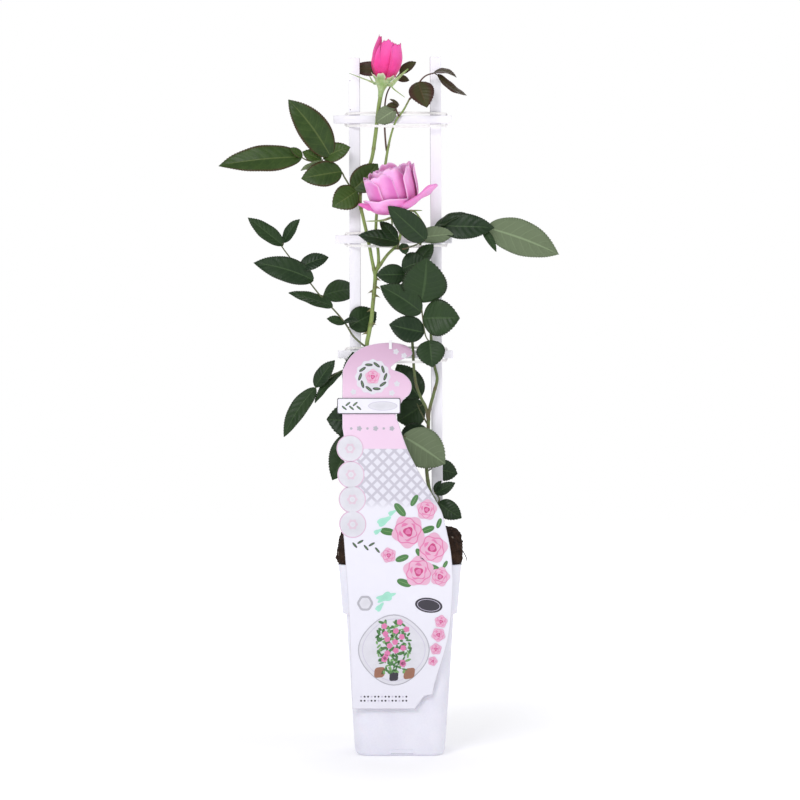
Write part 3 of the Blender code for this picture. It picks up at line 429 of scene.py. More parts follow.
caneLooks = {
    "green cane": {"light": (0.30, 0.38, 0.11), "dark": (0.12, 0.19, 0.04), "bark": (0.11, 0.07, 0.03),
                   "barkShare": 0.62},
    "old cane": {"light": (0.14, 0.19, 0.05), "dark": (0.06, 0.09, 0.03), "bark": (0.10, 0.05, 0.03),
                 "barkShare": 0.5},
    "leaf stalk": {"light": (0.11, 0.15, 0.05), "dark": (0.07, 0.06, 0.03), "bark": (0.09, 0.035, 0.02),
                   "barkShare": 0.5},
    "young stalk": {"light": (0.10, 0.04, 0.025), "dark": (0.06, 0.025, 0.02), "bark": (0.09, 0.03, 0.02),
                    "barkShare": 0.5},
}


def makeCanePaint(name, look):
    p = Paint(name)
    u, v = p.surface()
    mottle = useGroup(p, mottleGroup, Vector=p.place(), coarse=55.0, fine=700.0)
    streak = p.node("ShaderNodeCombineXYZ", p.maths("MULTIPLY", u, 9.0), p.maths("MULTIPLY", v, 0.5),
                    0.0).outputs[0]
    grain = p.noise(streak, 3.0)
    colour = p.mix(grain, look["light"], look["dark"])
    bark = p.span(mottle["mask"], look["barkShare"], 1.0)
    colour = p.mix(p.maths("MAXIMUM", p.maths("MULTIPLY", bark, 0.7), p.attribute("extra")), colour,
                   look["bark"])
    return p.finish(colour, 0.42, p.bump(p.maths("ADD", grain, mottle["grain"]), 0.25, 0.0004))


# Petal colours: deep, middle and pale run up each petal, so it is darker towards the base, partly its own
# colour and partly painted shade down in the cup. The crease colour is painted shade in the creases; the
# bloom's pale rim is a painted highlight on the rolled edges, the bud's dark rim a darker top edge.
petalLooks = {
    "bloom petal": {"pale": (0.93, 0.49, 0.82), "middle": (0.80, 0.23, 0.58), "deep": (0.52, 0.04, 0.26),
                    "speck": (0.25, 0.02, 0.16),
                    "deepEnd": 0.20, "middleEnd": 0.72, "outer": (0.84, 0.42, 0.75),
                    "rim": (0.95, 0.66, 0.90), "rimShare": 0.75,
                    "creaseShade": (0.62, 0.09, 0.40), "creaseShadeShare": 0.85},
    "bud petal": {"pale": (0.92, 0.125, 0.46), "middle": (0.80, 0.035, 0.27), "deep": (0.42, 0.008, 0.08),
                  "speck": (0.35, 0.01, 0.08),
                  "deepEnd": 0.06, "middleEnd": 0.40, "outer": (0.80, 0.05, 0.30),
                  "rim": (0.42, 0.015, 0.16), "rimShare": 0.8,
                  "creaseShade": (0.36, 0.008, 0.10), "creaseShadeShare": 0.9},
}


def makePetalPaint(name, look):
    p = Paint(name)
    u, v = p.surface()
    mottle = useGroup(p, mottleGroup, Vector=p.place(), coarse=120.0, fine=1500.0)
    fan = p.node("ShaderNodeCombineXYZ", p.maths("MULTIPLY", u, 26.0), p.maths("MULTIPLY", v, 1.2),
                 0.0).outputs[0]
    fibre = p.noise(fan, 1.6, 2.0)
    rise = p.maths("ADD", v, p.maths("MULTIPLY_ADD", mottle["mask"], 0.16, -0.08))
    # Darker towards the base: partly the petal's own colour, partly painted shade down in the cup.
    colour = p.mix(p.span(rise, look["deepEnd"], look["middleEnd"]), look["deep"], look["middle"])
    colour = p.mix(p.span(rise, look["middleEnd"] - 0.15, 1.0), colour, look["pale"])
    colour = p.mix(p.maths("MULTIPLY", p.attribute("under"), 0.45), colour, look["outer"])
    # Painted shade in the creases, as much as the tone attribute gives.
    colour = p.mix(p.maths("MULTIPLY", p.attribute("tone"), look["creaseShadeShare"]), colour, look["creaseShade"])
    # Rim colour where the extra attribute marks the rims: for the bloom a painted highlight along the
    # rolled edges, for the bud a darker top edge.
    colour = p.mix(p.maths("MULTIPLY", p.attribute("extra"), look["rimShare"]), colour, look["rim"])
    colour = p.mix(p.maths("MULTIPLY", fibre, 0.35), colour, look["middle"])
    speckCells = p.node("ShaderNodeTexVoronoi", p.place())
    speckCells.inputs["Scale"].default_value = 130
    specks = p.maths("MULTIPLY", p.span(speckCells.outputs["Distance"], 0.085, 0.04),
                     p.span(mottle["mask"], 0.45, 0.8))
    colour = p.mix(p.maths("MULTIPLY", specks, 0.6), colour, look["speck"])
    return p.finish(colour, 0.55, p.bump(fibre, 0.18, 0.0005), Subsurface_Weight=0.12,
                    Subsurface_Scale=0.003,
                    Sheen_Weight=0.15, Specular_IOR_Level=0.3)


def makePlainPaint(name, colour, rough):
    p = Paint(name)
    mottle = useGroup(p, mottleGroup, Vector=p.place(), coarse=80.0, fine=700.0)
    return p.finish(p.mix(mottle["mask"], colour, tuple(c * 0.94 for c in colour)), rough,
                    p.bump(mottle["grain"], 0.08, 0.0003))


leafPaints = {name: makeLeafPaint(name, look) for name, look in leafLooks.items()}
canePaints = {name: makeCanePaint(name, look) for name, look in caneLooks.items()}
petalPaints = {name: makePetalPaint(name, look) for name, look in petalLooks.items()}
print("plant finishes made")


# Leaves: name, the paint, the stalk's points, and leaflets as base, tip,
# width, roll about the midrib in degrees (0 faces the front, 90 faces up, 180
# shows the underside) and arch.
leafTable = {
    "leaf_top_right": ("young leaf", [(10.8, -10.8, 651), (18, -13, 664), (25, -14, 672), (34, -15, 675)],
                       [((33, -15, 675), (56, -21, 670.5), 13, 58, 0.14),
                        ((37, -15.5, 673), (66.5, -22, 653), 12, 48, -0.10),
                        ((18, -13.5, 666), (26.5, -24, 640), 25, 10, 0.08)]),
    "leaf_top_young": ("young leaf", [(-1.6, -9.8, 634), (-4, -12.5, 640), (-2, -13.5, 644)],
                       [((-4, -12.5, 639), (-24, -16, 626), 18, 160, 0.06),
                        ((-2, -13, 642), (-13.5, -15.5, 642.5), 8, 35, 0.08),
                        ((-1, -13.5, 643), (-10, -17, 649), 4, 40, 0.05)]),
    "leaf_behind_bud": ("young leaf",
                        [(-13.6, -6.4, 600), (-15.2, -8.4, 620), (-15.2, -8.4, 641), (-13.5, 1, 655),
                         (-10, 8, 664),
                                       (-5, 12, 672), (1, 13, 680)],
                        [((0, 13, 678), (16, 15, 690.5), 11, 25, 0.05),
                         ((-4, 12, 674), (9.5, 13, 671.5), 8, 20, 0.05),
                         ((-15, 11.5, 683), (-50, 12, 684), 15, 8, 0.03)]),
    "leaf_upper_left": ("warm leaf",
                        [(-41, -10, 547), (-49, -13, 561), (-55, -14, 571), (-60, -15, 578),
                         (-78, -17, 585.5),
                                      (-91, -18, 587.5), (-99, -19, 591.5)],
                        [((-98, -19, 591), (-179.5, -25, 583), 28, 18, 0.05),
                         ((-97, -19, 591), (-108.5, -23, 600), 9, 30, 0.05),
                         ((-69, -17.5, 592), (-110, -28, 647), 31, 4, 0.04),
                         ((-78, -16, 588), (-97, -15, 597), 13, 15, 0.05),
                         ((-76, -16, 590), (-49.5, -20, 601), 19, 12, 0.05),
                         ((-74, -17, 585), (-98.5, -24, 578), 12, 118, 0.06),
                         ((-58, -15, 577), (-97.5, -25, 569.5), 26, 10, 0.06),
                         ((-43, -12.5, 558), (-67, -20, 542), 26, 6, 0.06),
                         ((-47, -12.8, 559), (-22, -12.6, 585), 26, -6, 0.0)]),
    "leaf_mid_left": ("rose leaf",
                      [(-34.8, -10.2, 403.5), (-46, -13, 413), (-53, -14, 424), (-59, -15, 432),
                       (-67, -16, 441),
                                    (-75, -17, 449), (-82, -18, 457), (-89, -19, 466), (-96, -20, 475),
                                    (-112, -22, 495),
                                    (-119, -23, 505)],
                      [((-116, -22.5, 503), (-150, -26, 531), 17, 24, 0.05),
                       ((-115, -22.5, 506), (-99.5, -27, 529), 13, 30, 0.06),
                       ((-86, -19, 469), (-144.5, -28, 486), 25, 12, 0.05),
                       ((-99, -20.5, 481), (-71, -18, 492), 17, 20, 0.05),
                       ((-76, -16.5, 454), (-42, 23, 462), 22, 4, 0.03),
                       ((-67, -16, 443), (-110, -22, 457), 16, 36, 0.06),
                       ((-50, -9.5, 423), (-23, 3, 438), 26, 0, 0.0),
                       ((-55, -15, 426), (-72.5, -19, 431), 11, 38, 0.05),
                       ((-57, -15, 427), (-41, -18, 429), 9, 52, 0.05)]),
    "leaf_under_bloom": ("rose leaf",
                         [(-4.9, -17.5, 500.2), (-3, -20, 500), (4, -26, 499.5), (15, -29.5, 503),
                          (24, -30, 507)],
                         [((25, -30, 508), (-10.5, -62, 538), 24, 0, 0.0),
                          ((-1, -21.8, 506), (-41, -24, 514), 19, 28, 0.06),
                          ((-3, -21.8, 509), (-20, -22, 527), 13, 20, 0.04),
                          ((2, -22, 505), (6, -26, 494), 10, 10, 0.05)]),
    "leaf_right": ("rose leaf",
                   [(22, -10.3, 508), (28, -13.5, 516), (40, -16, 523), (60, -18, 524), (86, -20, 521)],
                   [((86, -20, 521), (157.5, -28, 494.5), 35, 160, 0.07),
                    ((40, -17, 523), (93, -25, 521), 26, 8, 0.04),
                    ((17, -14.5, 511), (53, -25, 515), 21, 140, 0.05),
                    ((33, -15, 520), (67, -19, 536), 14, 55, 0.06),
                    ((82, -19.5, 520), (95.5, -23, 497), 8, 10, 0.05)]),
    "leaf_centre_upper": ("rose leaf", [(13, -10.6, 466), (10, -13, 472), (6, -15, 477), (16, -15.5, 484)],
                          [((5, -15, 475), (-23.5, -22, 474), 21, 12, 0.06),
                           ((2, -15, 480), (28, -17.5, 489), 24, 14, 0.04),
                           ((16, -15.5, 484), (33, -15.5, 505), 17, 20, 0.04)]),
    "leaf_centre_hanging": ("rose leaf",
                            [(18, -10.6, 487), (20, -14.5, 466), (21, -17, 449), (22, -18, 436),
                             (25, -19, 415),
                                          (29, -20, 408)],
                            [((21, -17.5, 447), (26, -31, 490), 44, 0, 0.03),
                             ((21, -17.5, 437), (-19.5, -25, 463), 27, 6, 0.05),
                             ((23, -18.5, 431), (59, -26, 431), 36, 4, 0.05),
                             ((24, -19, 417), (-10.5, -25, 425), 27, 14, 0.04),
                             ((29, -20, 409), (32, -25, 382.5), 28, 0, 0.06)]),
    "leaf_lower_left": ("rose leaf",
                        [(-34, -10.2, 373), (-47, -12.5, 378), (-58, -14.5, 379), (-72, -16.5, 370),
                         (-84, -18, 362)],
                        [((-84, -18, 362), (-115.5, -24, 314), 18, 14, 0.05),
                         ((-84, -18, 363), (-65, -21, 389.5), 16, 20, 0.05),
                         ((-58, -15, 378), (-85, -22, 348), 11, 40, 0.05)]),
    "leaf_tag_left": ("rose leaf", [(-26.5, -13.5, 306), (-35, -19, 318), (-38, -20, 334), (-38, -20, 352)],
                      [((-35, -20, 330), (-72.5, -25, 331), 36, 4, 0.04),
                       ((-40, -21, 318), (-67, -28, 271), 30, 8, 0.04),
                       ((-38, -20, 354), (-47, -16, 398), 30, 0, 0.0)]),
    "leaf_back_upper": ("rose leaf", [(26.8, -8.2, 327), (19, 3, 342), (15, 6, 352)],
                        [((20, 6, 352), (-3, 11, 386), 28, 4, 0.04),
                         ((24, 4, 346), (-3, 12, 329), 30, 10, 0.04)]),
    "leaf_back_lower": ("rose leaf", [(26.2, -8.7, 297), (24, 0, 305), (25, 3, 315)],
                        [((27, 3, 321), (0, 9, 303), 30, 4, 0.04)]),
    "leaf_silver": ("rose leaf", [(25.6, -11.9, 311), (14, -18, 314), (4, -21, 314)],
                    [((3, -21, 314.5), (45, -29, 287), 39, 174, 0.04)]),
    "leaf_low_small": ("rose leaf", [(24.5, -12.3, 285), (21, -13, 289)],
                       [((23, -12.8, 288), (10.5, -12.5, 292), 12, 30, 0.05)]),
    "leaf_low_pale": ("rose leaf", [(27.2, -8.8, 279), (31, 2.5, 281), (34, 7, 282)],
                      [((33, 6.5, 282), (58, 11, 276), 21, 10, 0.04)]),
    "leaf_low_right": ("rose leaf", [(37.6, -13, 246.5), (39, -15, 252), (35, -15, 258)],
                       [((35, -15, 257), (54.5, -19, 268), 12, 20, 0.06),
                        ((38.5, -14, 248), (61, -20, 233), 19, 8, 0.06),
                        ((34, -15, 259), (41, -18, 270), 6, 18, 0.05)]),
}
leafShape = {"toothPitch": 2.3, "toothSize": 0.042, "columns": 19, "fold": 0.11, "wave": 0.030,
             "droop": 0.04, "curl": 0.05,
             "thickness": 0.5, "stalkRadius": 0.85}


# Blade: P(u, v) = base + along v L + across u w(v) W/2 + facing lift, with
# w(v) = sin(pi v^0.8)^0.62 (1 - v^6)^0.35, plus saw teeth that grow towards
# the rim as |u|^5, and lift = arch 4 v (1 - v) L + fold W |u| - curl W |u|^3
# - droop v^3 L, with a slow wave and a fine ripple added.
def leafBlade(base, tip, width, roll, arch, shape):
    base, tip = np.array(base, float), np.array(tip, float)
    length = np.linalg.norm(tip - base)
    along = (tip - base) / length
    front = np.array([0.0, -1.0, 0.0])
    front = unit(front - along * front.dot(along))
    up = np.cross(along, front)
    up = up if up[2] >= 0 else -up
    turn = math.radians(roll)
    facing = front * math.cos(turn) + up * math.sin(turn)
    across = np.cross(facing, along)
    teeth = int(np.clip(round(length / shape["toothPitch"]), 7, 30))
    step = np.array([0.0, 0.34, 0.66, 0.86])
    v = np.concatenate([((np.arange(teeth)[:, None] + step[None]) / teeth).ravel(), [1.0]])
    saw = np.concatenate([np.tile(np.array([0.0, 0.50, 0.86, 0.92]), teeth), [0.0]])
    u = np.linspace(-1, 1, shape["columns"])
    uu, vv = np.meshgrid(u, v)
    ss = np.broadcast_to(saw[:, None], uu.shape)
    inner = np.clip(vv, 0.004, 0.998)
    wide = np.sin(np.pi * inner ** 0.8) ** 0.62 * (1 - inner ** 6) ** 0.35
    rim = np.abs(uu) ** 5 * ss * np.minimum(1, wide * 2.0)
    out = uu * wide + np.sign(uu) * rim * shape["toothSize"]
    phase = rng.uniform(0, math.tau, 3)
    sideShare = np.where(uu > 0, 1.0, np.cos(phase[1]))
    wave = np.sin(vv * 5.5 + phase[0]) * np.abs(uu) ** 1.6 * sideShare * shape["wave"] * length
    ripple = np.sin(vv * 17 + phase[2]) * uu ** 4 * 0.008 * length
    lift = arch * length * 4 * vv * (1 - vv) + shape["fold"] * width * np.sqrt(out ** 2 + 0.002)
    lift = lift + wave * 0.6 + ripple
    lift -= shape["curl"] * width * np.abs(out) ** 3
    lift -= shape["droop"] * length * vv ** 3
    stretch = vv * length + rim * 0.30 * length / teeth
    bend = 0.03 * length * np.sin(np.pi * vv) * math.sin(phase[0] * 3)
    aside = (out * width / 2) + bend
    points = base + along * stretch[..., None] + across * aside[..., None] + facing * lift[..., None]
    uv = np.stack([(uu + 1) / 2, vv], -1)
    half = shape["thickness"] / 2 * (1 - 0.5 * np.abs(uu) ** 3)
    return sheetPart(points[:, ::-1] if np.dot(np.cross(across, along), facing) < 0 else points, half,
                     uv[:, ::-1] if np.dot(np.cross(across, along), facing) < 0 else uv,
                     tone=rng.uniform(0.1, 0.9))




# Canes as x, y, z, radius; thorns as height, side, length
caneTable = {
    "left": [(-14, -15, 172, 2.9), (-16, -14, 222, 2.9), (-20, -12.5, 270, 2.7), (-27, -10.5, 330, 2.4),
             (-32, -9.2, 380, 2.2),
             (-33, -9.0, 404, 2.1), (-31, -10.6, 416, 2.1), (-28.5, -12, 430, 2.1), (-27, -12, 445, 2.0),
             (-25, -10.4, 465, 2.0),
             (-24.5, -9.4, 477, 2.0)],
    "bud shoot": [(-24.6, -9.6, 474, 1.9), (-28, -9.1, 490, 1.7), (-30, -9.0, 501, 1.7),
                  (-34, -8.9, 520, 1.7), (-37, -8.6, 533, 1.7),
                  (-39.5, -8.0, 546, 1.7), (-38.5, -7.6, 562, 1.7), (-33, -7.6, 578, 1.7),
                  (-28, -8.0, 591, 1.8), (-25, -8.3, 610, 1.9),
                  (-23, -8.4, 626, 1.9), (-21.5, -8.5, 640, 2.0), (-19.4, -9.0, 652.6, 2.1)],
    "top shoot": [(-24.6, -9.6, 475, 1.7), (-21.5, -9.6, 486, 1.6), (-22, -9.6, 500, 1.5),
                  (-24, -9.0, 508, 1.5), (-24, -9.0, 522, 1.5),
                  (-23, -8.2, 538, 1.5), (-20, -7.6, 560, 1.4), (-15, -7.6, 583, 1.4), (-13, -8, 595, 1.3),
                  (-10, -8.2, 610, 1.1),
                  (-6.5, -8.2, 622, 1.0), (-3, -8.2, 630, 1.0), (3, -8.8, 638, 1.0), (7, -9.4, 645, 0.9),
                  (9.5, -9.8, 650, 0.9)],
    "bloom shoot": [(-22.5, -10.2, 480, 1.6), (-18, -12, 487, 1.6), (-12, -13.8, 495, 1.5),
                    (-4, -16, 503, 1.5), (0, -19.5, 512, 1.5),
                    (2.4, -23.8, 521, 1.6), (3.6, -27.1, 527, 1.7), (3.0, -28.4, 530.6, 1.7)],
    "right": [(43, -13, 172, 2.4), (40, -12.4, 224, 2.4), (37.5, -11.5, 240, 2.2), (34.5, -11, 250, 2.0),
              (30, -11, 258, 1.9),
              (27, -11, 275, 1.8), (26.5, -11, 290, 1.8), (28, -10.5, 318, 1.8), (28.5, -10.2, 334, 1.7),
              (30, -10, 343, 1.7),
              (34, -9.4, 358, 1.6), (37, -8.8, 371, 1.5), (34.5, -8.6, 383, 1.5), (32, -8.6, 396, 1.5),
              (31, -8.6, 412, 1.5), (30.5, -8.8, 424, 1.2)],
    "right shoot": [(28.3, -10.3, 328, 1.6), (26, -9.6, 342, 1.5), (21, -9.2, 352, 1.5),
                    (16.5, -8.9, 364, 1.4), (14, -8.7, 380, 1.4),
                    (13, -8.6, 398, 1.4), (12.2, -8.6, 412, 1.4), (12.5, -8.7, 440, 1.3),
                    (14, -8.8, 465, 1.3), (17, -8.9, 488, 1.2),
                    (20.5, -9.2, 506, 1.2)],
}
thornTable = [(344, 1, 4.0), (362, -1, 4.2), (416, -1, 5.0), (425, 1, 3.6), (438, -1, 3.4), (452, 1, 4.6),
              (457, -1, 4.4),
              (461, 1, 4.2), (470, 1, 3.6)]
caneShape = {"sides": 14, "steps": 10, "nodePitch": 31.0, "nodeSwell": 0.16}

caneMiddles = np.vstack([smoothPath(points, 10)[:, :3] for points in caneTable.values()])


# A stalk starts at the middle of the nearest cane.
def makeLeaf(name, paint, stalk, leaflets, shape):
    root = caneMiddles[np.argmin(np.linalg.norm(caneMiddles - np.array(stalk[0]), axis=1))]
    path = smoothPath([tuple(root)] + stalk, 8)
    share = np.linspace(0, 1, len(path))
    thick = shape["stalkRadius"] * (1.25 - 0.5 * share)
    parts = [tubePart(path, thick, 8, material=1)]
    for base, tip, width, roll, arch in leaflets:
        blade = leafBlade(base, tip, width, roll, arch, shape)
        parts.append(blade)
        start = path[np.argmin(np.linalg.norm(path - np.array(base), axis=1))]
        foot = smoothPath([start, np.array(base),
                           np.array(base) + unit(np.array(tip, float) - np.array(base)) * 3.0], 4)
        parts.append(tubePart(foot, np.linspace(0.65, 0.35, len(foot)), 6, material=1))
    young = paint == "young leaf"
    makePiece(name + "_fine", parts,
              [leafPaints[paint], canePaints["young stalk" if young else "leaf stalk"]],
              [name])


for leafName, (leafPaint, leafStalk, leaflets) in leafTable.items():
    makeLeaf(leafName, leafPaint, leafStalk, leaflets, leafShape)
print("leaves made")



# Cane: a ring along a Catmull-Rom path whose radius swells at even nodes by
# exp(-(distance / 1.6)^2).
def canePart(points, shape, material=0):
    path = smoothPath(points, shape["steps"])
    length = np.concatenate([[0], np.cumsum(np.linalg.norm(np.diff(path[:, :3], axis=0), axis=1))])
    near = np.abs((length + 9) % shape["nodePitch"] - shape["nodePitch"] / 2)
    swell = np.exp(-(near / 1.6) ** 2)
    radius = path[:, 3] * (1 + shape["nodeSwell"] * swell)
    end = np.minimum(1, np.sqrt(np.clip((length[-1] - length) / 0.8, 0.3, 1)))
    part = tubePart(path[:, :3], radius * end, shape["sides"], material, reference=(0.1, 1.0, 0.2))
    part["extra"] = np.concatenate([np.repeat(swell * 0.5, shape["sides"]), [0, 0]])
    return part


# Thorn: an oval ring along a hooked arc that narrows as (1 - t)^1.3
def thornPart(path, height, side, length):
    x, y, z, radius = path[np.argmin(np.abs(path[:, 2] - height))]
    t = np.linspace(0, 1, 9)
    line = np.stack([x + side * (radius * 0.5 + (length + radius * 0.5) * t), y - 0.4 - 0.9 * t,
                     z + 0.9 - 2.2 * t ** 2], -1)
    part = tubePart(line, 1.9 * (1 - t) ** 1.3 + 0.08, 8, 0, flat=0.5, reference=(0.1, 1.0, 0.0))
    part["extra"] = np.full(len(part["points"]), 0.75)
    return part


leftPath = smoothPath(caneTable["left"], 10)
makePiece("cane_left_fine",
          [canePart(caneTable[key], caneShape) for key in ("left", "bud shoot", "top shoot", "bloom shoot")]
          + [thornPart(leftPath, *row) for row in thornTable], [canePaints["green cane"]], ["cane_left"])
makePiece("cane_right_fine", [canePart(caneTable[key], caneShape) for key in ("right", "right shoot")],
          [canePaints["old cane"]], ["cane_right"])
print("canes made")


def flowerFrame(axis):
    axis = unit(np.array(axis, float))
    front = np.array([0.0, -1.0, 0.0])
    front = unit(front - axis * front.dot(axis))
    return axis, front, np.cross(axis, front)


# Bloom petals as azimuth (0 faces the front, 90 the right), half span,
# radius, height, closing angle, outward roll of the rim, narrowing upward,
# slant (one edge further out) and lean (one end of the rim higher).
bloomShape = {
    "base": (1.0, -30.0, 537.0), "axis": (-0.30, -0.24, 0.92), "thickness": 0.45, "ruffle": 0.6,
    "petals": [
        (20, 75, 6, 42, 132, 0.3, 0, 0, 0), (140, 80, 8, 44, 130, 0.3, 0, 0, 0),
        (260, 80, 10, 44, 128, 0.3, 0, 0, 0),
        (60, 70, 14, 45, 124, 0.6, 0.15, 0.1, 0), (-50, 66, 16, 46, 124, 0.6, 0.2, -0.1, -0.04),
        (180, 60, 17, 48, 122, 0.6, 0.35, 0, 0), (150, 56, 21, 43, 116, 1.0, 0.1, -0.1, 0),
        (226, 58, 23, 44, 118, 1.0, 0.1, -0.1, 0.04),
        (8, 58, 20.5, 47, 121, 0.8, 0.45, -0.10, -0.05), (-36, 50, 23.9, 43.5, 118, 1.0, 0.28, -0.12, 0.06),
        (-84, 56, 26.6, 43, 116, 1.4, 0.12, -0.05, -0.03),
        (62, 50, 22.5, 44.5, 113, 1.6, 0.30, -0.14, 0.05),
        (98, 46, 23.6, 44, 107, 2.6, 0.1, -0.10, 0.03), (196, 60, 26, 40, 110, 1.6, 0, 0, 0),
        (-40, 64, 28.5, 20.5, 92, 0.8, 0, -0.16, -0.20)],
    "flares": [
        {"path": [(-4, -50, 534), (7, -54, 540), (19, -54, 547.5), (29, -51, 555), (37, -47, 560.5)],
         "width": [4, 8.5, 10, 11.0, 7.5],
         "across": (0.10, -0.70, 0.70), "share": (0.45, 0.95)},
        {"path": [(-20, -44, 536.5), (-31, -45, 539.5), (-40.5, -42, 542.5)], "width": [4, 6.5, 2.5],
         "across": (0.25, -0.5, 0.8), "share": (0.3, 0.5)}],
    "sepals": [(95, (13, -6), (19, -25), 3.6), (84, (13, -4), (20, -6), 3.0),
               (-88, (20, -3.5), (36, 1), 4.0),
               (165, (14, -4), (20, -18), 4.4), (225, (14, -5), (19, -18), 4.4)],
    "hip": [(-6.4, 1.8), (-4.5, 3.4), (-2.0, 3.9), (-0.2, 2.6)],
}


# Cupped petal: reach = radius (1 + slant u) sin(bend) + roll curl^2 and rise =
# height (1 + lean u) ((1 - cos bend) / (1 - cos closing))^1.4, where bend grows
# with v to the closing angle and u turns it about the flower's axis. The side
# rims roll out a little and a ruffle grows towards the top.
def petalPart(shape, petal, grid=30):
    azimuth, halfSpan, radius, height, closing, roll, narrow, slant, lean = petal
    axis, front, side = flowerFrame(shape["axis"])
    uu, vv = np.meshgrid(np.linspace(-1, 1, grid), np.linspace(0, 1, grid))
    phase = rng.uniform(0, math.tau, 2)
    nicks = 0.006 * np.sin(uu * 8 + phase[1]) + 0.002 * np.sin(uu * 21 + phase[0])
    v = vv * (1 - 0.12 * np.abs(uu) ** 3 - 0.03 * np.exp(-(uu * 5) ** 2) + nicks * vv ** 4)
    span = halfSpan * (0.55 + 0.45 * np.sin(np.pi * np.minimum(v, 0.8) / 1.6)) * (1 - narrow * v)
    angle = np.radians(azimuth + uu * span)
    bend = np.radians(closing) * (0.1 + 0.9 * v)
    curl = np.maximum(0, v - 0.75) / 0.25
    edge = np.maximum(0, np.abs(uu) - 0.8) / 0.2
    ruffle = shape["ruffle"] * np.sin(uu * 7 + phase[0]) * v ** 5 * min(1, radius / 20)
    reach = radius * (1 + slant * uu) * np.sin(bend) + roll * curl ** 2
    reach = reach + 0.35 * roll * edge ** 2 * v + ruffle
    rise = height * (1 + lean * uu) * ((1 - np.cos(bend)) / (1 - math.cos(math.radians(closing)))) ** 1.4
    rise = rise - 0.6 * roll * curl ** 3 + ruffle * 0.5
    out = front * np.cos(angle)[..., None] + side * np.sin(angle)[..., None]
    points = np.array(shape["base"]) + axis * rise[..., None] + out * reach[..., None]
    # extra marks the rims, where the bloom's paint puts a painted highlight along the rolled edges.
    rim = np.clip(np.maximum(np.abs(uu) - 0.9, (vv - 0.94) * 1.6) / 0.1, 0, 1)
    # The tone is painted crease shade: on petals that slant back it rises towards one side edge, on the
    # rest it is an even share; all gain more by the other side edge and near the top.
    creaseShade = np.clip((uu - 0.1) / 0.8, 0, 1) if slant < 0 else 0.35
    creaseShade = creaseShade + 0.35 * np.clip((-uu - 0.6) / 0.4, 0, 1) + 0.15 * vv ** 6
    return sheetPart(points, shape["thickness"] / 2, np.stack([(uu + 1) / 2, vv], -1), tone=creaseShade,
                     extra=rim)


# Turned-back petal: a strip of changing width along a smooth path, with a
# ruffled rim.
def flarePart(flare, thickness, steps=10):
    path = smoothPath([(*point, width) for point, width in zip(flare["path"], flare["width"])], steps)
    t = np.linspace(0, 1, len(path))
    heading = unit(np.gradient(path[:, :3], axis=0))
    wish = np.array(flare["across"])
    across = unit(wish - heading * (heading @ wish)[:, None])
    fold = np.cross(across, heading)
    u = np.linspace(-1, 1, 21)
    tip = np.minimum(1, np.sqrt(np.clip((1.02 - t) / 0.06, 0.05, 1)))
    half = path[:, 3] / 2 * tip + 0.45 * np.sin(t * 19) * t
    wide = u[None] * half[:, None]
    ruffle = np.sin(t * 15)[:, None] * (u[None] < 0) + np.sin(t * 11)[:, None] * (u[None] > 0)
    lift = 0.2 * half[:, None] * u[None] ** 2 + 0.8 * ruffle * u[None] ** 2
    stretch = -1.6 * (u[None] > 0) * u[None] ** 2 * t[:, None] ** 8
    points = path[:, None, :3] + across[:, None] * wide[..., None] + fold[:, None] * lift[..., None]
    points = points + heading[:, None] * stretch[..., None]
    low, high = flare["share"]
    uu, vv = np.meshgrid((u + 1) / 2, low + (high - low) * t)
    # The tone, which the paint turns into painted crease shade, rises towards the side edges and in stripes
    # along the strip.
    rim = np.clip((np.abs(2 * uu - 1) - 0.62) / 0.38, 0, 1)
    stripe = 0.25 + 0.25 * np.sin(uu * 40 + 6 * vv)
    return sheetPart(points, thickness / 2, np.stack([uu, vv], -1), tone=np.clip(0.75 * rim + stripe, 0, 1))


# Sepal: a narrow strip whose half width falls as (1.05 - t)^0.7 and is drawn in
# at its root, along a smooth path from the hip, folded along its middle.
def sepalPart(shape, hip, azimuth, middle, end, width):
    axis, front, side = flowerFrame(shape["axis"])
    out = front * math.cos(math.radians(azimuth)) + side * math.sin(math.radians(azimuth))
    base = np.array(shape["base"])
    stops = ((0.4, -2.2), (hip + 2.5, -3.0), middle, end)
    path = smoothPath([base + axis * rise + out * reach for reach, rise in stops], 8)
    t = np.linspace(0, 1, len(path))
    heading = unit(np.gradient(path, axis=0))
    across = unit(np.cross(heading, axis * 0.4 - np.array([0.0, 1.0, 0.0])))
    half = width / 2 * (1.05 - t) ** 0.7 * np.minimum(1, 0.35 + 1.6 * t)
    u = np.linspace(-1, 1, 7)
    fold = np.cross(across, heading)
    wide = half[:, None] * u[None]
    lift = np.abs(u)[None] * half[:, None] * 0.35
    points = path[:, None] + across[:, None] * wide[..., None] + fold[:, None] * lift[..., None]
    uu, vv = np.meshgrid((u + 1) / 2, t)
    return sheetPart(points, 0.3, np.stack([uu, vv], -1))


def hipPart(shape, steps=6):
    axis = flowerFrame(shape["axis"])[0]
    rows = smoothPath(shape["hip"], steps)
    path = np.array(shape["base"]) + axis * rows[:, :1]
    return tubePart(path, rows[:, 1], 20)


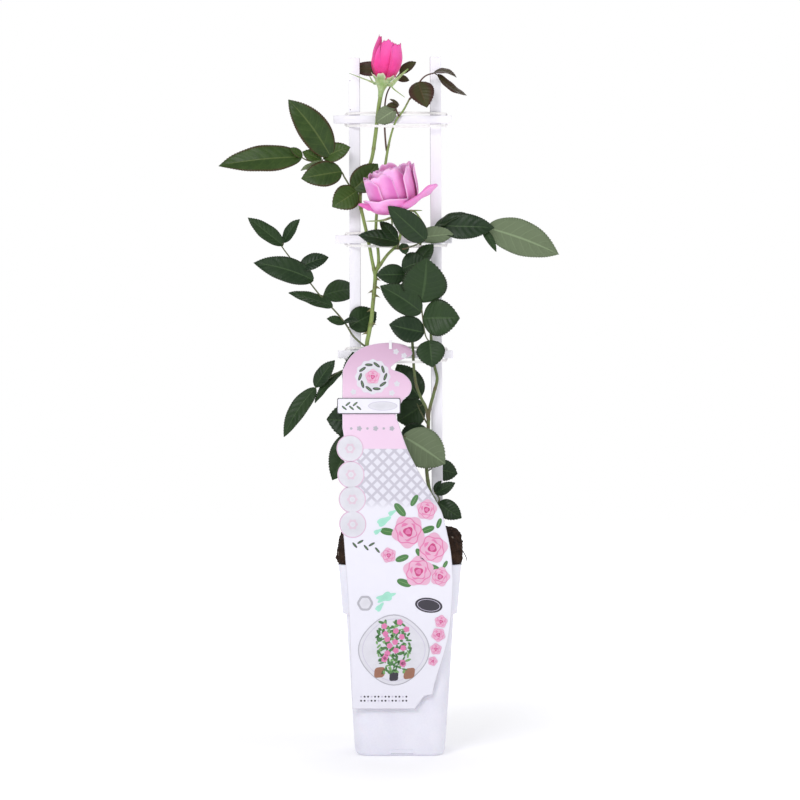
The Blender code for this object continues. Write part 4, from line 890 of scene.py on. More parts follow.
# Ragged cup: the hip's rim carried up the petals as a ring that follows the
# bud's profile plus a gap. Its height follows |cos|^1.5 of the angle, one hump
# for each tooth, with a fine cosine on top.
def cupPart(shape, turns=121, rows=9):
    axis, front, side = flowerFrame(shape["axis"])
    profile = smoothPath(shape["profile"], 8)
    cup = shape["cup"]
    angle, v = np.meshgrid(np.linspace(0, math.tau, turns), np.linspace(0, 1, rows))
    tooth = np.abs(np.cos(angle * cup["teeth"] / 2 + 0.4)) ** 1.5
    top = cup["low"] + (cup["high"] - cup["low"]) * tooth + 0.5 * np.cos(angle * 13)
    rise = cup["foot"] + (top - cup["foot"]) * v
    reach = np.interp(rise / shape["height"], profile[:, 0], profile[:, 1])
    reach = reach + cup["gap"] + 0.3 * np.sin(angle * 9) * v
    out = front * np.cos(angle)[..., None] + side * np.sin(angle)[..., None]
    points = np.array(shape["base"]) + axis * rise[..., None] + out * reach[..., None]
    return sheetPart(points, 0.2, np.stack([angle / math.tau, v], -1),
                     extra=np.clip((v - 0.55) / 0.45, 0, 1))


calyxLook = {"light": (0.42, 0.50, 0.28), "dark": (0.22, 0.34, 0.10), "pale": (0.74, 0.66, 0.55),
             "rough": 0.55}


def makeCalyxPaint(look):
    p = Paint("calyx")
    mottle = useGroup(p, mottleGroup, Vector=p.place(), coarse=160.0, fine=1200.0)
    colour = p.mix(mottle["mask"], look["light"], look["dark"])
    colour = p.mix(p.maths("MULTIPLY", p.attribute("extra"), 0.8), colour, look["pale"])
    return p.finish(colour, look["rough"], p.bump(mottle["grain"], 0.2, 0.0004), Subsurface_Weight=0.1,
                    Subsurface_Scale=0.002)


calyxPaint = makeCalyxPaint(calyxLook)
petalParts = [petalPart(bloomShape, petal) for petal in bloomShape["petals"]]
flareParts = [flarePart(flare, bloomShape["thickness"]) for flare in bloomShape["flares"]]
makePiece("bloom_fine", petalParts + flareParts, [petalPaints["bloom petal"]], ["bloom_petals"])
makePiece("bloom_calyx_fine",
          [hipPart(bloomShape)] + [sepalPart(bloomShape, 2.6, *row) for row in bloomShape["sepals"]],
          [calyxPaint], ["bloom_calyx"])
print("bloom made")


# Bud petals as azimuth, half span, distance inside the profile, share of the height, how far their rim
# rolls outward, how much they narrow upward, and how much painted crease shade they carry by one side edge.
budShape = {
    "base": (-17.3, -9.0, 668.0), "axis": (0.15, 0.0, 1.0), "height": 41.0, "thickness": 0.45,
    "profile": [(0.0, 6.2), (0.06, 8.8), (0.15, 11.4), (0.3, 14.0), (0.45, 15.5), (0.63, 15.9),
                (0.85, 14.0), (1.0, 10.8)],
    "petals": [(250, 95, 6.0, 0.90, 0.3, 0.2, 0), (120, 95, 4.8, 0.92, 0.3, 0.2, 0),
               (200, 80, 2.8, 0.95, 0.5, 0.2, 0),
               (-78, 70, 2.4, 1.06, 1.2, 0.30, 1), (8, 50, 1.1, 0.96, 1.3, 0.18, 0.25),
               (84, 66, 0.0, 0.93, 1.6, 0.12, 0.45)],
    "sepals": [(-90, (16, -1.5), (34, 2.5), 2.6), (78, (14, 3), (24, 15), 6.5),
               (70, (13, -7), (26, -14), 2.4),
               (186, (13, -5), (19, -16), 4.0), (-140, (14, -2), (22, 5), 4.0)],
    "hip": [(-16.5, 2.25), (-10.5, 3.0), (-6.5, 4.6), (-3.0, 6.6), (-0.8, 7.6), (1.0, 8.1)],
    "cup": {"teeth": 5, "low": 2.2, "high": 6.0, "foot": -0.6, "gap": 0.9},
}


# Wrapped petal: reach follows the bud's profile less the petal's inset, the
# half span narrows upward, and the rim is a ragged sum of three sines.
def budPetalPart(shape, petal, grid=40):
    azimuth, halfSpan, inset, tall, roll, narrow, creaseShade = petal
    axis, front, side = flowerFrame(shape["axis"])
    profile = smoothPath(shape["profile"], 8)
    uu, vv = np.meshgrid(np.linspace(-1, 1, grid), np.linspace(0, 1, grid))
    phase = rng.uniform(0, math.tau)
    angle = np.radians(azimuth + uu * halfSpan * (1 - narrow * vv ** 1.5) - 8 * vv)
    ragged = 0.020 * np.sin(uu * 9 + phase) + 0.014 * np.sin(uu * 23 + 2 * phase) + 0.008 * np.sin(uu * 41)
    top = 1 - 0.12 * np.abs(uu) ** 2.2 + ragged * vv ** 8
    edge = np.maximum(0, np.abs(uu) - 0.82) / 0.18
    belly = 0.5 * np.sin(uu * 4 + phase) * vv
    reach = np.interp(vv, profile[:, 0], profile[:, 1]) - inset + belly
    reach = reach + roll * (np.maximum(0, vv - 0.85) / 0.15) ** 2 + roll * edge ** 2
    points = np.array(shape["base"]) + axis * (shape["height"] * tall * vv * top)[..., None]
    out = front * np.cos(angle)[..., None] + side * np.sin(angle)[..., None]
    points = points + out * reach[..., None]
    # The tone is painted crease shade towards one side edge, as much as the petal's last column gives.
    return sheetPart(points, shape["thickness"] / 2, np.stack([(uu + 1) / 2, vv], -1),
                     tone=np.clip((uu * creaseShade - 0.15) / 0.6, 0, 1),
                     extra=np.clip((vv - 0.96) / 0.04, 0, 1))


makePiece("bud_fine", [budPetalPart(budShape, petal) for petal in budShape["petals"]],
          [petalPaints["bud petal"]], ["bud_petals"])
makePiece("bud_calyx_fine",
          [hipPart(budShape)] + [sepalPart(budShape, 6.2, *row) for row in budShape["sepals"]]
          + [cupPart(budShape)],
          [calyxPaint], ["bud_calyx"])
print("bud made")


# Pot: profile as half width and height, outside then inside; the corner
# radius is a share of the half width. The slot has a left edge, a right edge
# that slants by the given amount, a height, a depth and a soft edge.
potShape = {
    "corner": 0.33, "sides": 320,
    "profile": [(30.0, 0.0), (39.4, 0.0), (41.2, 0.5), (42.8, 1.7), (43.9, 3.6), (44.7, 8.0), (52.9, 138.8),
                (53.3, 139.3), (55.9, 140.2), (56.5, 141.2),
                (60.3, 186.6), (60.7, 187.6), (60.9, 188.4), (60.5, 189.0), (59.9, 189.0), (59.3, 188.4),
                (55.2, 142.4), (51.6, 140.0),
                (42.0, 3.6), (30.0, 2.4)],
    "slot": {"left": -9.5, "right": 11.5, "slant": 4.0, "tall": 7.0, "deep": 0.9, "edge": 0.8},
}


# Ring of the pot's plan: a square of half width h whose corners are arcs of
# radius c h. Points at even angles on a superellipse are moved to it.
def planRing(half, corner, sides):
    turn = (np.arange(sides) + 0.5) / sides * math.tau
    power = 5.2
    reach = (np.abs(np.cos(turn)) ** power + np.abs(np.sin(turn)) ** power) ** (-1 / power)
    straight = np.stack([reach * np.cos(turn), reach * np.sin(turn)], -1)
    box = np.clip(straight, -(1 - corner), 1 - corner)
    arc = unit(straight - box)
    return (box + arc * corner) * half


def makePotPaint():
    p = Paint("white pot plastic")
    mottle = useGroup(p, mottleGroup, Vector=p.place(), coarse=30.0, fine=600.0)
    colour = p.mix(mottle["mask"], (0.75, 0.74, 0.83), (0.81, 0.80, 0.88))
    return p.finish(colour, 0.34, p.bump(mottle["grain"], 0.06, 0.0003), Subsurface_Weight=0.05,
                    Subsurface_Scale=0.004)


def makePot(shape):
    rows = []
    for (h0, z0), (h1, z1) in zip(shape["profile"], shape["profile"][1:]):
        count = max(1, int(abs(z1 - z0) / (0.5 if max(z0, z1) <= 8 else 3)))
        t = np.arange(count) / count
        rows.append(np.stack([h0 + (h1 - h0) * t, z0 + (z1 - z0) * t], -1))
    rows = np.vstack(rows + [np.array(shape["profile"][-1:])])
    unitRing = planRing(1.0, shape["corner"], shape["sides"])
    points = np.concatenate([rows[:, None, :1] * unitRing[None],
                             np.broadcast_to(rows[:, 1][:, None, None], (len(rows), shape["sides"], 1))],
                             -1)
    slot = shape["slot"]
    x, y, z = points[..., 0], points[..., 1], points[..., 2]
    rightSide = slot["right"] + slot["slant"] * (1 - z / slot["tall"])
    outer = np.arange(len(rows))[:, None] < np.argmax(rows[:, 1])
    gaps = (x - slot["left"], rightSide - x, slot["tall"] - z)
    inside = [np.clip(gap / slot["edge"] + 0.5, 0, 1) for gap in gaps]
    points[..., 1] += np.prod(inside, axis=0) * (y < -35) * outer * slot["deep"]
    part = shellPart(points)
    makePiece("pot_fine", [part], [makePotPaint()], ["pot"])


makePot(potShape)
print("pot made")


# Soil that fills the pot and stands above its rim: half width and height rows
soilShape = {
    "corner": 0.33, "sides": 260, "rough": (1.0, 0.55),
    "profile": [(40.0, 2.4), (42.4, 2.4), (51.0, 139.8), (54.6, 143.0), (58.6, 189.4), (60.6, 190.4),
                (61.3, 195), (61.1, 202), (60.5, 209),
                (59.1, 215.5), (55.5, 220), (43, 221), (23, 221.5), (4, 221.6)],
}


def makeSoilPaint():
    p = Paint("peat")
    place = p.place()
    mottle = useGroup(p, mottleGroup, Vector=place, coarse=110.0, fine=900.0)
    colour = p.mix(mottle["mask"], (0.012, 0.006, 0.004), (0.050, 0.026, 0.015))
    cells = p.node("ShaderNodeTexVoronoi", place)
    cells.inputs["Scale"].default_value = 170
    crumbs = p.span(cells.outputs["Distance"], 0.55, 0.1)
    pick = p.node("ShaderNodeSeparateColor", cells.outputs["Color"]).outputs[0]
    pale = p.maths("MULTIPLY", p.span(pick, 0.90, 0.94), p.span(cells.outputs["Distance"], 0.5, 0.3))
    fibres = p.noise(p.node("ShaderNodeMapping", place, None, None, (1, 1, 5)).outputs[0], 260)
    colour = p.mix(p.maths("MULTIPLY", p.span(fibres, 0.6, 0.75), 0.5), colour, (0.12, 0.062, 0.032))
    colour = p.mix(p.maths("MULTIPLY", pale, 0.8), colour, (0.42, 0.36, 0.30))
    height = p.maths("ADD", p.maths("MULTIPLY", crumbs, 0.7), mottle["grain"])
    return p.finish(colour, 0.95, p.bump(height, 0.9, 0.0016), Specular_IOR_Level=0.2)


# Crumbs: a sum of sines of mixed direction and pitch, by which the surface is
# moved along its normal.
def crumble(points, size, low, high, count=26):
    total = np.zeros(points.shape[:-1])
    for _ in range(count):
        way = unit(rng.normal(size=3)) * rng.uniform(low, high)
        total += np.sin(points @ way + rng.uniform(0, math.tau))
    return total / math.sqrt(count) * size


def makeSoil(shape):
    profile = smoothPath([(h, z) for h, z in shape["profile"]], 1)
    rows = []
    for (h0, z0), (h1, z1) in zip(profile, profile[1:]):
        count = max(1, int(math.hypot(h1 - h0, z1 - z0) / (1.1 if z1 > 189 else 12)))
        t = np.arange(count) / count
        rows.append(np.stack([h0 + (h1 - h0) * t, z0 + (z1 - z0) * t], -1))
    rows = np.vstack(rows + [profile[-1:]])
    ring = planRing(1.0, shape["corner"], shape["sides"])
    points = np.concatenate([rows[:, None, :1] * ring[None],
                             np.broadcast_to(rows[:, 1][:, None, None], (len(rows), shape["sides"], 1))],
                             -1)
    above = np.clip((points[..., 2] - 189.5) / 2, 0, 1)
    lumps = crumble(points, shape["rough"][0], 0.12, 1.1)
    grains = crumble(points, shape["rough"][1], 1.2, 2.6)
    bump = (lumps + grains) * above
    middle = unit(np.concatenate([points[..., :2], np.zeros_like(points[..., :1])], -1))
    topness = np.clip((points[..., 2] - 214) / 6, 0, 1)[..., None]
    outward = unit(middle * (1 - topness) + np.array([0, 0, 1.0]) * topness)
    points = points + outward * bump[..., None]
    part = shellPart(points)
    root = smoothPath([(54, -14, 206, 0.6), (59, -15, 204, 0.6), (63, -16, 199, 0.5), (66, -16, 193, 0.4),
                       (66.3, -16, 190, 0.3)], 8)
    makePiece("soil_fine", [part, tubePart(root[:, :3], root[:, 3], 6)], [makeSoilPaint()], ["soil"])


makeSoil(soilShape)
print("soil made")


# Trellis: stakes as foot and head, slats as left, right, height
trellisShape = {
    "stakeWidth": 11.0, "stakeThick": 4.0, "slatHeight": 8.0, "slatThick": 3.0, "clearance": 0.3,
    "nails": {"stake_left": [(-50, 669), (-49.5, 640)]},
    "stakes": {"stake_left": ((-43.3, 0.0, 112.0), (-45.8, 0.0, 692.0)),
               "stake_right": ((37.9, 0.0, 112.0), (35.3, 0.0, 693.0))},
    "slats": {"crossbar_top": (-66.5, 51.5, 630.0), "crossbar_middle": (-64.5, 52.0, 510.4),
              "crossbar_low": (-62.0, 53.0, 395.6)},
}


def makeLathPaint(name, alongX):
    p = Paint(name)
    place = p.place()
    stretched = p.node("ShaderNodeMapping", place, None, None,
                       (0.06, 1, 1) if alongX else (1, 1, 0.06)).outputs[0]
    grain = p.noise(stretched, 900, 4.0, 0.65)
    mottle = useGroup(p, mottleGroup, Vector=place, coarse=25.0, fine=500.0)
    colour = p.mix(p.maths("MULTIPLY", mottle["mask"], 0.5), (0.86, 0.84, 0.90), (0.82, 0.80, 0.87))
    colour = p.mix(p.maths("MULTIPLY", p.span(grain, 0.56, 0.72), 0.18), colour, (0.66, 0.63, 0.68))
    dents = p.node("ShaderNodeTexVoronoi", place)
    dents.inputs["Scale"].default_value = 42
    nail = p.span(dents.outputs["Distance"], 0.035, 0.02)
    colour = p.mix(p.maths("MULTIPLY", nail, 0.5), colour, (0.25, 0.20, 0.20))
    # Painted shade: a dark line along each stake's inner side, where the extra attribute marks it.
    colour = p.mix(p.maths("MULTIPLY", p.attribute("extra"), 0.75), colour, (0.16, 0.14, 0.17))
    return p.finish(colour, 0.5, p.bump(p.maths("SUBTRACT", grain, nail), 0.22, 0.0004))


# Lath: a rectangle with rounded corners carried along its length, with the
# two ends drawn in by the same rounding.
def lathPart(start, end, width, thick, across, out, shadedSide=0, rounding=0.55):
    start, end, across, out = (np.array(q, float) for q in (start, end, across, out))
    corners = []
    for sx, sy, first in ((1, 1, 0), (-1, 1, 90), (-1, -1, 180), (1, -1, 270)):
        turn = np.radians(first + np.array([0, 30, 60, 90]))
        corners.append(np.stack([sx * (width / 2 - rounding) + rounding * np.cos(turn),
                                 sy * (thick / 2 - rounding) + rounding * np.sin(turn)], -1))
    ring = np.vstack(corners)
    length = np.linalg.norm(end - start)
    step = np.concatenate([[0, 0.1, 0.35, 0.7], np.linspace(2, length - 2, 60),
                           length - np.array([0.7, 0.35, 0.1, 0])])
    inset = np.interp(np.minimum(step, length - step), [0, 0.1, 0.35, 0.7], [0.55, 0.32, 0.1, 0.0])
    t = (step / length)[:, None]
    centre = start + (end - start) * t
    size = 1 - inset[:, None, None] / np.array([width / 2, thick / 2])
    local = ring[None] * size
    points = centre[:, None] + local[..., :1] * across + local[..., 1:] * out
    part = shellPart(points)
    # extra marks a painted shade line along the side that shadedSide points to.
    shaded = np.clip((ring[:, 0] * shadedSide - width / 2 + 0.45) / 0.3, 0, 1)
    part["extra"] = np.concatenate([np.tile(shaded, len(step)), [0, 0]])
    return part


def makeTrellis(shape):
    upright, level = makeLathPaint("upright lath paint", False), makeLathPaint("level lath paint", True)
    dark = makePlainPaint("nail", (0.10, 0.08, 0.09), 0.5)
    for name, (foot, head) in shape["stakes"].items():
        inner = 1 if foot[0] < 0 else -1
        parts = [lathPart(foot, head, shape["stakeWidth"], shape["stakeThick"], (1, 0, 0), (0, 1, 0),
                          inner)]
        for x, z in shape["nails"].get(name, ()):
            parts.append(tubePart([(x, -1.6, z), (x, -2.0, z), (x, -2.2, z)], [0.45, 0.45, 0.3], 10, 1,
                                  reference=(0, 0, 1)))
        makePiece(name + "_fine", parts, [upright, dark], [name])
    y = -shape["stakeThick"] / 2 - shape["clearance"] - shape["slatThick"] / 2
    for name, (left, right, height) in shape["slats"].items():
        part = lathPart((left, y, height), (right, y, height), shape["slatThick"], shape["slatHeight"],
                        (0, 1, 0), (0, 0, 1))
        makePiece(name + "_fine", [part], [level], [name])


makeTrellis(trellisShape)


tieShape = {"width": 1.3, "thick": 0.5, "steps": 8, "strands": ((-0.6, 0.0), (0.6, 0.3))}


def makeTiePaint():
    p = Paint("white elastic")
    u, v = p.surface()
    ribs = p.maths("ABSOLUTE", p.maths("SINE", p.maths("MULTIPLY", v, 60.0)))
    colour = p.mix(p.maths("MULTIPLY", ribs, 0.25), (0.86, 0.84, 0.84), (0.70, 0.67, 0.66))
    return p.finish(colour, 0.65, p.bump(ribs, 0.3, 0.0003))


# Tie: two flat strands, each an oval ring carried round the closed route.
def makeTie(name, height, shape, slatHeight, paint):
    half = slatHeight / 2
    low, high = height - half - 1.7, height + half + 1.7
    route = np.array([
        (-50.2, -3.8, low - 0.5), (-36, -12.4, low - 1.4), (-18, -13.2, low - 2.0), (2, -13.2, low - 2.2),
        (22, -12.8, low - 1.9), (36, -11.4, low - 1.2), (44, -3.8, low - 0.5), (46, -1.3, low - 0.1),
        (47.4, -1.2, height), (46, -1.3, high), (44, -3.6, high + 0.2), (30, -4.4, high + 0.6),
        (0, -4.4, high + 1.0), (-35, -4.4, high + 0.7), (-50.2, -3.8, high + 0.2), (-53.6, -1.3, high),
        (-55.2, -1.2, height), (-53.6, -1.3, low - 0.1)])
    around = np.vstack([route[-2:], route, route[:3]])
    path = smoothPath(around, shape["steps"])[2 * shape["steps"]:-3 * shape["steps"]]
    heading = unit(np.roll(path, -1, 0) - np.roll(path, 1, 0))
    rise = unit(np.cross(np.array([0, -1.0, 0]), heading))
    out = np.cross(heading, rise)
    turn = np.arange(8) / 8 * math.tau
    parts = []
    for lift, forward in shape["strands"]:
        centre = path + rise * lift + out * forward * 0.4
        upward = (np.cos(turn) * shape["width"] / 2)[None, :, None]
        outward = (np.sin(turn) * shape["thick"] / 2)[None, :, None]
        ring = rise[:, None] * upward + out[:, None] * outward
        points = (centre[:, None] + ring).reshape(-1, 3)
        rows = len(path)
        quads = np.vstack([gridQuads(rows, 8, True),
                           np.stack([(rows - 1) * 8 + np.arange(8), (rows - 1) * 8 + (np.arange(8) + 1) % 8,
                                     (np.arange(8) + 1) % 8, np.arange(8)], -1)])
        total = len(points)
        length = np.repeat(np.arange(rows) * 0.02, 8)
        parts.append({"points": points, "quads": quads, "tris": np.zeros((0, 3), int),
                      "uv": np.stack([np.tile(turn, rows), length], -1),
                      "under": np.zeros(total), "tone": np.zeros(total), "extra": np.zeros(total),
                      "material": 0})
    makePiece(name + "_fine", parts, [paint], [name])


tiePaint = makeTiePaint()
for slatName, slatRow in trellisShape["slats"].items():
    makeTie(slatName.replace("crossbar", "tie"), slatRow[2], tieShape, trellisShape["slatHeight"], tiePaint)
print("trellis made")


# Printed card: left and right edges as x and height, the badges on its left
# edge, and its lean as height and depth
cardShape = {
    "left": [(-46.6, 48), (-49.4, 134), (-52.5, 185), (-55.0, 220), (-55.4, 224), "badges",
             (-56.5, 314), (-57, 372), (-55, 383), (-49, 393), (-41, 400), (-32, 404), (-20, 406.5),
             (-7, 407)],
    "right": [(15.6, 48), (15.6, 49.5), (24, 61.3), (31.8, 62), (34, 73), (47.5, 120), (51.5, 167),
              (51, 187), (49, 205), (46, 220), (44, 229),
              (41, 240), (37, 248), (30, 260), (23, 272), (15, 286), (8, 300), (3, 313), (-1, 326),
              (-4, 336), (3, 350), (9, 355),
              (11.5, 362), (10, 369), (3, 376), (-9, 381), (-5, 386), (2, 390), (11, 394), (12, 398),
              (8, 403), (0, 406), (-7, 407)],
    "badges": [(-46, 229), (-46.5, 253), (-48, 277), (-49, 302.5)], "badgeRadius": 13.3,
    "lean": [(30, -51.2), (185, -64.0), (213, -65.4), (228, -63.9), (240, -60.9), (420, -11.3)],
    "thick": 0.7, "rows": 420, "columns": 60,
}


# Depth of the card's middle by height: the lean's straight runs, averaged
# over a window so that the two bends are soft.
leanHeights = np.arange(10.0, 440.0, 0.5)
leanWindow = np.ones(25) / 25
cardLean = np.convolve(np.interp(leanHeights, *np.array(cardShape["lean"]).T), leanWindow, "same")


def cardFront(z):
    return np.interp(z, leanHeights, cardLean)


def cardEdge(points, steps=5):
    rows = []
    for entry in points:
        if isinstance(entry, str):
            for x, z in cardShape["badges"]:
                turn = np.radians(-118 - 124 * np.linspace(0, 1, 16))
                rows.append(np.stack([x + cardShape["badgeRadius"] * np.cos(turn),
                                      z + cardShape["badgeRadius"] * np.sin(turn)], -1))
        else:
            rows.append(np.array([entry], float))
    rows = np.vstack(rows)
    soft = smoothPath(rows, steps)
    keep = np.concatenate([[True], soft[1:, 1] > np.maximum.accumulate(soft[:, 1])[:-1] + 1e-6])
    return np.where(soft[:, 1:] < 74,
                    np.stack([np.interp(soft[:, 1], rows[:, 1], rows[:, 0]), soft[:, 1]], -1), soft)[keep]


# Card: P(u, z) = (left(z) + u (right(z) - left(z)), lean(z), z)
def makeCard(shape):
    left, right = cardEdge(shape["left"]), cardEdge(shape["right"])
    z = np.linspace(left[0, 1], left[-1, 1] - 0.1, shape["rows"])
    edgeLeft, edgeRight = np.interp(z, left[:, 1], left[:, 0]), np.interp(z, right[:, 1], right[:, 0])
    u = np.linspace(0, 1, shape["columns"])
    x = edgeLeft[:, None] + (edgeRight - edgeLeft)[:, None] * u[None]
    zz = np.broadcast_to(z[:, None], x.shape)
    points = np.stack([x, cardFront(zz), zz], -1)
    outline = np.vstack([left, right[::-1]])
    a, b = outline, np.roll(outline, -1, 0)
    flat = np.stack([x, zz], -1).reshape(-1, 1, 2)
    span = b - a
    t = np.clip(((flat - a) * span).sum(-1) / np.maximum((span ** 2).sum(-1), 1e-9), 0, 1)
    rim = np.linalg.norm(flat - (a + span * t[..., None]), axis=-1).min(1).reshape(x.shape)
    part = sheetPart(points, shape["thick"] / 2, np.stack([x / 100, zz / 100], -1), extra=rim)
    makePiece("card_fine", [part], [makeCardPaint()], ["tag"])


# Print of the card, by height: a lilac top that deepens upward, a pale pink
# panel, a crossed lattice and a white foot, inside a white rim.
def makeCardPaint():
    p = Paint("printed card")
    x, z = p.surface()
    rim, under = p.attribute("extra"), p.attribute("under")
    mottle = useGroup(p, mottleGroup, Vector=p.place(), coarse=40.0, fine=900.0)
    top = p.mix(p.span(z, 3.5, 4.05), (0.76, 0.53, 0.70), (0.60, 0.38, 0.54))
    pink = p.mix(p.maths("MULTIPLY", mottle["mask"], 0.3), (0.78, 0.57, 0.74), (0.80, 0.61, 0.76))
    slope = []
    for sign in (1, -1):
        slant = p.maths("MULTIPLY_ADD", x, sign * 9.0, p.maths("MULTIPLY", z, 9.0))
        slope.append(p.maths("ABSOLUTE", p.maths("SUBTRACT", p.maths("FRACT", slant), 0.5)))
    lattice = p.maths("MINIMUM", slope[0], slope[1])
    weave = p.mix(p.span(lattice, 0.10, 0.22), (0.52, 0.50, 0.58), (0.72, 0.71, 0.79))
    foot = p.mix(p.maths("MULTIPLY", mottle["mask"], 0.5), (0.76, 0.75, 0.83), (0.79, 0.78, 0.86))
    colour = p.mix(p.span(z, 2.42, 2.55), foot, weave)
    colour = p.mix(p.span(z, 3.015, 3.025), colour, pink)
    colour = p.mix(p.span(z, 3.44, 3.45), colour, top)
    colour = p.mix(p.span(rim, 0.2, 0.5), (0.66, 0.64, 0.70), colour)
    colour = p.mix(under, colour, (0.86, 0.86, 0.90))
    return p.finish(colour, 0.30, p.bump(mottle["grain"], 0.05, 0.0002))


makeCard(cardShape)


# Printed motifs lie on the card as thin plates: each is a scalloped
# disc, r(angle) = radius (1 + wave cos(lobes angle)), as x, height, across
# and up radii, lobes, wave, turn in degrees, layer and ink.
inkLooks = {
    "white": (0.78, 0.77, 0.84), "ring": (0.78, 0.52, 0.70), "pale ring": (0.78, 0.62, 0.73),
    "blush": (0.85, 0.48, 0.66), "rose": (0.80, 0.22, 0.46),
    "deep rose": (0.62, 0.06, 0.24), "leaf": (0.07, 0.22, 0.06), "light leaf": (0.20, 0.42, 0.14),
    "mint": (0.40, 0.82, 0.66),
    "lilac": (0.66, 0.62, 0.76), "slate": (0.035, 0.03, 0.045), "clay": (0.36, 0.16, 0.10),
    "grey": (0.50, 0.49, 0.55),
}


def makeInkPaint(name, colour):
    p = Paint("ink " + name)
    u, v = p.surface()
    mottle = useGroup(p, mottleGroup, Vector=p.place(), coarse=120.0, fine=1200.0)
    shade = p.maths("MULTIPLY_ADD", p.span(v, 0.2, 1.0), 0.25, p.maths("MULTIPLY", mottle["mask"], 0.25))
    return p.finish(p.mix(shade, tuple(c * 0.78 for c in colour), colour), 0.3)


def motifPart(x, z, across, up, lobes, wave, turn, layer, ink, sides=48):
    angle = np.arange(sides) / sides * math.tau
    reach = 1 + wave * np.cos(lobes * angle)
    way = math.radians(turn)
    px, pz = reach * np.cos(angle) * across, reach * np.sin(angle) * up
    px, pz = px * math.cos(way) - pz * math.sin(way), px * math.sin(way) + pz * math.cos(way)
    rings = []
    inward = np.linspace(1.0, 0.05, 4 + int(up / 1.5))
    for share, lift in [(1.0, 0.0)] + [(share, 1.0) for share in inward]:
        height = z + pz * share
        depth = cardFront(height) - cardShape["thick"] / 2 - 0.10 - (layer - 1 + lift) * 0.08
        rings.append(np.stack([x + px * share, depth, height], -1))
    shares = np.concatenate([[1.0], inward])[:, None]
    uv = np.stack(np.broadcast_arrays((angle / math.tau)[None], shares), -1)
    return shellPart(np.array(rings), list(inkLooks).index(ink), uv)


# A printed rose: scalloped discs, each smaller than the one it lies on, as
# share of the radius, lobes, wave, turn and ink.
def rosePrint(x, z, radius, turn, layer):
    rows = ((1.0, 5, 0.10, 0, "blush"), (0.82, 5, 0.10, 36, "rose"), (0.74, 5, 0.12, 36, "blush"),
            (0.56, 5, 0.12, 0, "rose"),
            (0.47, 4, 0.14, 20, "blush"), (0.30, 3, 0.14, 0, "deep rose"), (0.18, 3, 0.1, 40, "rose"))
    return [motifPart(x, z, radius * share, radius * share, lobes, wave, turn + spin, layer + step, ink)
            for step, (share, lobes, wave, spin, ink) in enumerate(rows)]


def leafPrint(x, z, length, width, turn, layer, ink="leaf"):
    return [motifPart(x, z, length / 2, width / 2, 2, 0.12, turn, layer, ink),
            motifPart(x, z, length * 0.42, 0.25, 2, 0.0, turn, layer + 1, "light leaf")]


printRows = {
    "roses": [(26, 243, 9.5, 10), (8, 222, 15, 50), (31.5, 206, 14, 80), (18, 183, 14, 20), (39, 178, 9, 0),
              (-11, 199, 7, 30)],
    "leaves": [(0, 243, 14, 8, 130), (14, 252, 11, 6, 60), (-12, 222, 13, 8, 170), (27, 224, 12, 7, 20),
               (20, 200, 12, 7, -50), (2, 196, 12, 7, 200),
               (4, 172, 13, 8, 160), (33, 187, 10, 6, -20), (38, 230, 9, 5, 70), (44, 190, 7, 4, 60)],
    "trail": [(40, 134, 6, 10), (37.5, 121, 6.5, 50), (35, 107, 5.5, 20), (32, 95, 4.5, 70)],
    "sprig": [(-44 + 5.5 * step, 211 - 1.2 * step + (2.2 if step % 2 else -2.2), 6, 2.4,
               30 if step % 2 else -50) for step in range(5)],
    "bandSprig": [(-55 + 3.6 * step, 344.15 + (1.9 if step % 2 else -1.9), 5.4, 2.2,
                   40 if step % 2 else -40) for step in range(5)],
    "mint": [(-16, 232, 7), (-8, 240, 4), (-22, 222, 4)],
}


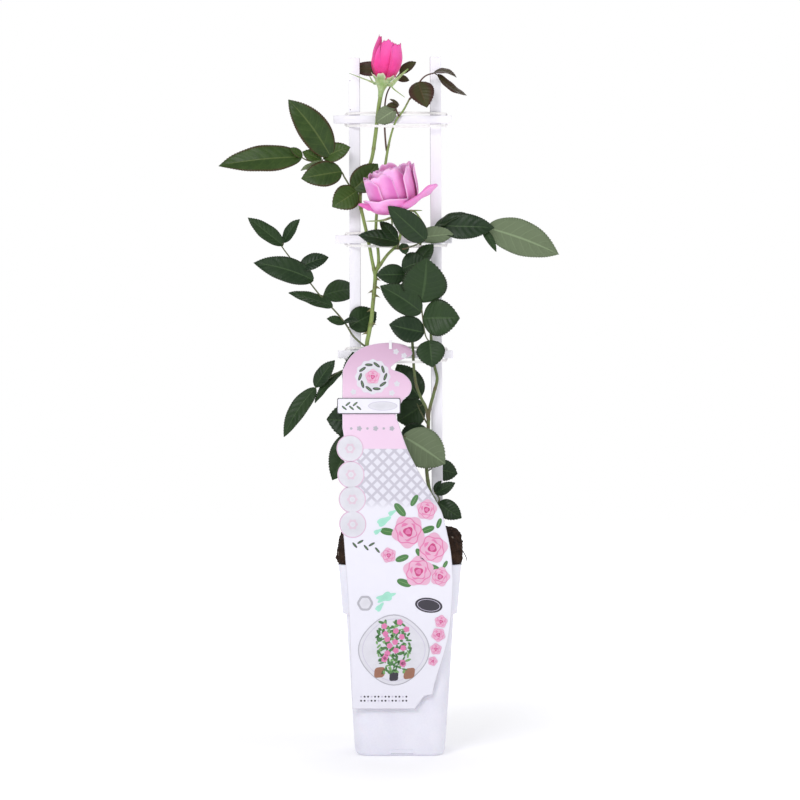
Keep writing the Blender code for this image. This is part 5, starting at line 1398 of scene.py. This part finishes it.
def makePrint(rows):
    parts = []
    for x, z in cardShape["badges"]:
        radius = cardShape["badgeRadius"] * 0.99
        rings = ((1.0, 0.0, "ring"), (0.93, 0.0, "white"), (0.36, 0.12, "pale ring"), (0.2, 0.0, "white"))
        parts += [motifPart(x, z, radius * share, radius * share, 6, wave, 0, step + 1, ink) for step,
                  (share, wave, ink) in enumerate(rings)]
    parts.append(motifPart(-27, 373, 17, 17, 12, 0.05, 0, 1, "white"))
    for step in range(10):
        turn = math.tau * step / 10
        parts += leafPrint(-27 + 12.5 * math.cos(turn), 373 + 12.5 * math.sin(turn), 7, 3.2,
                           math.degrees(turn) + 70, 2, "slate")
    parts += rosePrint(-27, 373, 7, 18, 3)
    parts += [motifPart(x, z, 2.6, 2.6, 5, 0.18, 18 * x, 1, "white") for x,
              z in ((-46, 358), (-8, 357), (-3, 366), (-4, 398), (4, 394))]
    parts += [motifPart(-48 + 8 * step, 322, 2.3 if step % 2 else 1.2, 2.3 if step % 2 else 1.2, 5, 0.15, 0,
                        1, "grey") for step in range(6)]
    parts += [part for row in rows["leaves"] for part in leafPrint(*row, 1)]
    parts += [part for row in rows["roses"] for part in rosePrint(*row, 3)]
    parts += [motifPart(x, z, size, size * 0.5, 3, 0.2, 30, 1, "mint") for x, z, size in rows["mint"]]
    parts += [motifPart(-6, 106, radius, radius, 4, wave, 0, step + 1, ink) for step,
              (radius, wave, ink) in enumerate(
        ((34, 0.03, "grey"), (33, 0.03, "white"), (30, 0.03, "lilac"), (29.4, 0.03, "white")))]
    parts += [motifPart(-20, 84, 6, 5, 4, 0.08, 45, 5, "clay"),
              motifPart(9, 83, 6.5, 5, 4, 0.08, 45, 5, "clay"),
              motifPart(-6, 80, 5, 4.4, 4, 0.1, 45, 5, "slate")]
    draw = np.random.default_rng(5)
    for step in range(150):
        t = draw.uniform(0, 1)
        x = -6 + (11 + 6 * math.sin(t * 3)) * draw.uniform(-1, 1)
        parts.append(motifPart(x, 84 + 50 * t, draw.uniform(1.6, 3.0), draw.uniform(0.9, 1.5), 2, 0.1,
                               draw.uniform(0, 180), 5 + step % 3,
                               "leaf" if draw.uniform() < 0.6 else "light leaf", 12))
    for step in range(16):
        t = (step + draw.uniform(0.2, 0.8)) / 16
        parts.append(motifPart(-6 + (9 + 6 * math.sin(t * 3)) * draw.uniform(-1, 1), 90 + 44 * t, 2.8, 2.8,
                               5, 0.12,
                               draw.uniform(0, 72), 9, "rose", 20))
    parts += [motifPart(28, 150, 13, 7.5, 2, 0.03, -8, 1, "slate"),
              motifPart(28, 150, 11, 6, 2, 0.03, -8, 2, "lilac"),
              motifPart(28, 150, 10.4, 5.5, 2, 0.03, -8, 3, "slate")]
    parts += [motifPart(-34, 152, 7.5, 7.5, 6, 0.04, 0, 1, "grey"),
              motifPart(-34, 152, 5.4, 5.4, 6, 0.04, 0, 2, "white"),
              motifPart(-14, 158, 9, 4, 5, 0.2, 20, 1, "mint"),
              motifPart(-20, 148, 5, 2.5, 3, 0.2, 50, 1, "mint")]
    parts += [motifPart(-38 + 3.4 * step, 60 - 4 * row, 0.9, 0.9, 4, 0.0, 0, 1,
                        "slate" if (step + row) % 3 else "lilac")
              for row in range(2) for step in range(14)]
    parts += [part for row in rows["trail"] for part in rosePrint(*row, 3)]
    parts += [part for row in rows["sprig"] for part in leafPrint(*row, 1, "slate")]
    parts += [part for row in rows["bandSprig"] for part in leafPrint(*row, 15, "slate")]
    parts += [motifPart(-17, 344.15, 15, 4.4, 2, -0.04, 0, 15, "lilac"),
              motifPart(-17, 344.15, 14.4, 3.9, 2, -0.04, 0, 16, "white")]
    makePiece("card_print", parts, [makeInkPaint(name, colour) for name, colour in inkLooks.items()], [],
              smooth=False)


makePrint(printRows)


bandShape = {"middle": (-30.75, 344.15), "half": (31.25, 7.85), "corner": 1.6, "forward": 1.15,
             "thick": 0.9, "line": 1.3}


# Band round the card: a plate with round corners; a dark line runs inside the
# rim of its face.
def makeBand(shape):
    across, up = shape["half"]
    turn = (np.arange(96) + 0.5) / 96 * math.tau
    signs = np.sign(np.stack([np.cos(turn), np.sin(turn)], -1))
    centres = signs * (np.array([across, up]) - shape["corner"])
    outline = centres + shape["corner"] * np.stack([np.cos(turn), np.sin(turn)], -1)
    rings = []
    for inset, lift in ((0.4, -0.5), (0.0, -0.3), (0.0, 0.3), (0.25, 0.5), (shape["line"], 0.5), (4.0, 0.5),
                        (7.0, 0.5)):
        x = shape["middle"][0] + outline[:, 0] * (1 - inset / across)
        z = shape["middle"][1] + outline[:, 1] * (1 - inset / up)
        rings.append(np.stack([x, cardFront(z) - shape["forward"] - lift * shape["thick"], z], -1))
    body = shellPart(np.array(rings))
    body["extra"] = np.concatenate([np.repeat([1, 1, 1, 1, 0, 0, 0], 96), [1, 0]])
    makePiece("tag_band_fine", [body], [makeBandPaint()], ["tag_band"], smooth=False)


def makeBandPaint():
    p = Paint("band plastic")
    mottle = useGroup(p, mottleGroup, Vector=p.place(), coarse=60.0, fine=700.0)
    face = p.mix(mottle["mask"], (0.80, 0.79, 0.86), (0.76, 0.75, 0.82))
    return p.finish(p.mix(p.span(p.attribute("extra"), 0.35, 0.6), face, (0.09, 0.08, 0.10)), 0.35,
                    p.bump(mottle["grain"], 0.06, 0.0003))


makeBand(bandShape)
hookPaint = makePlainPaint("hook plastic", (0.88, 0.87, 0.90), 0.4)
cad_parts["tag_tie"].material_slots[0].material = hookPaint
print("card made")
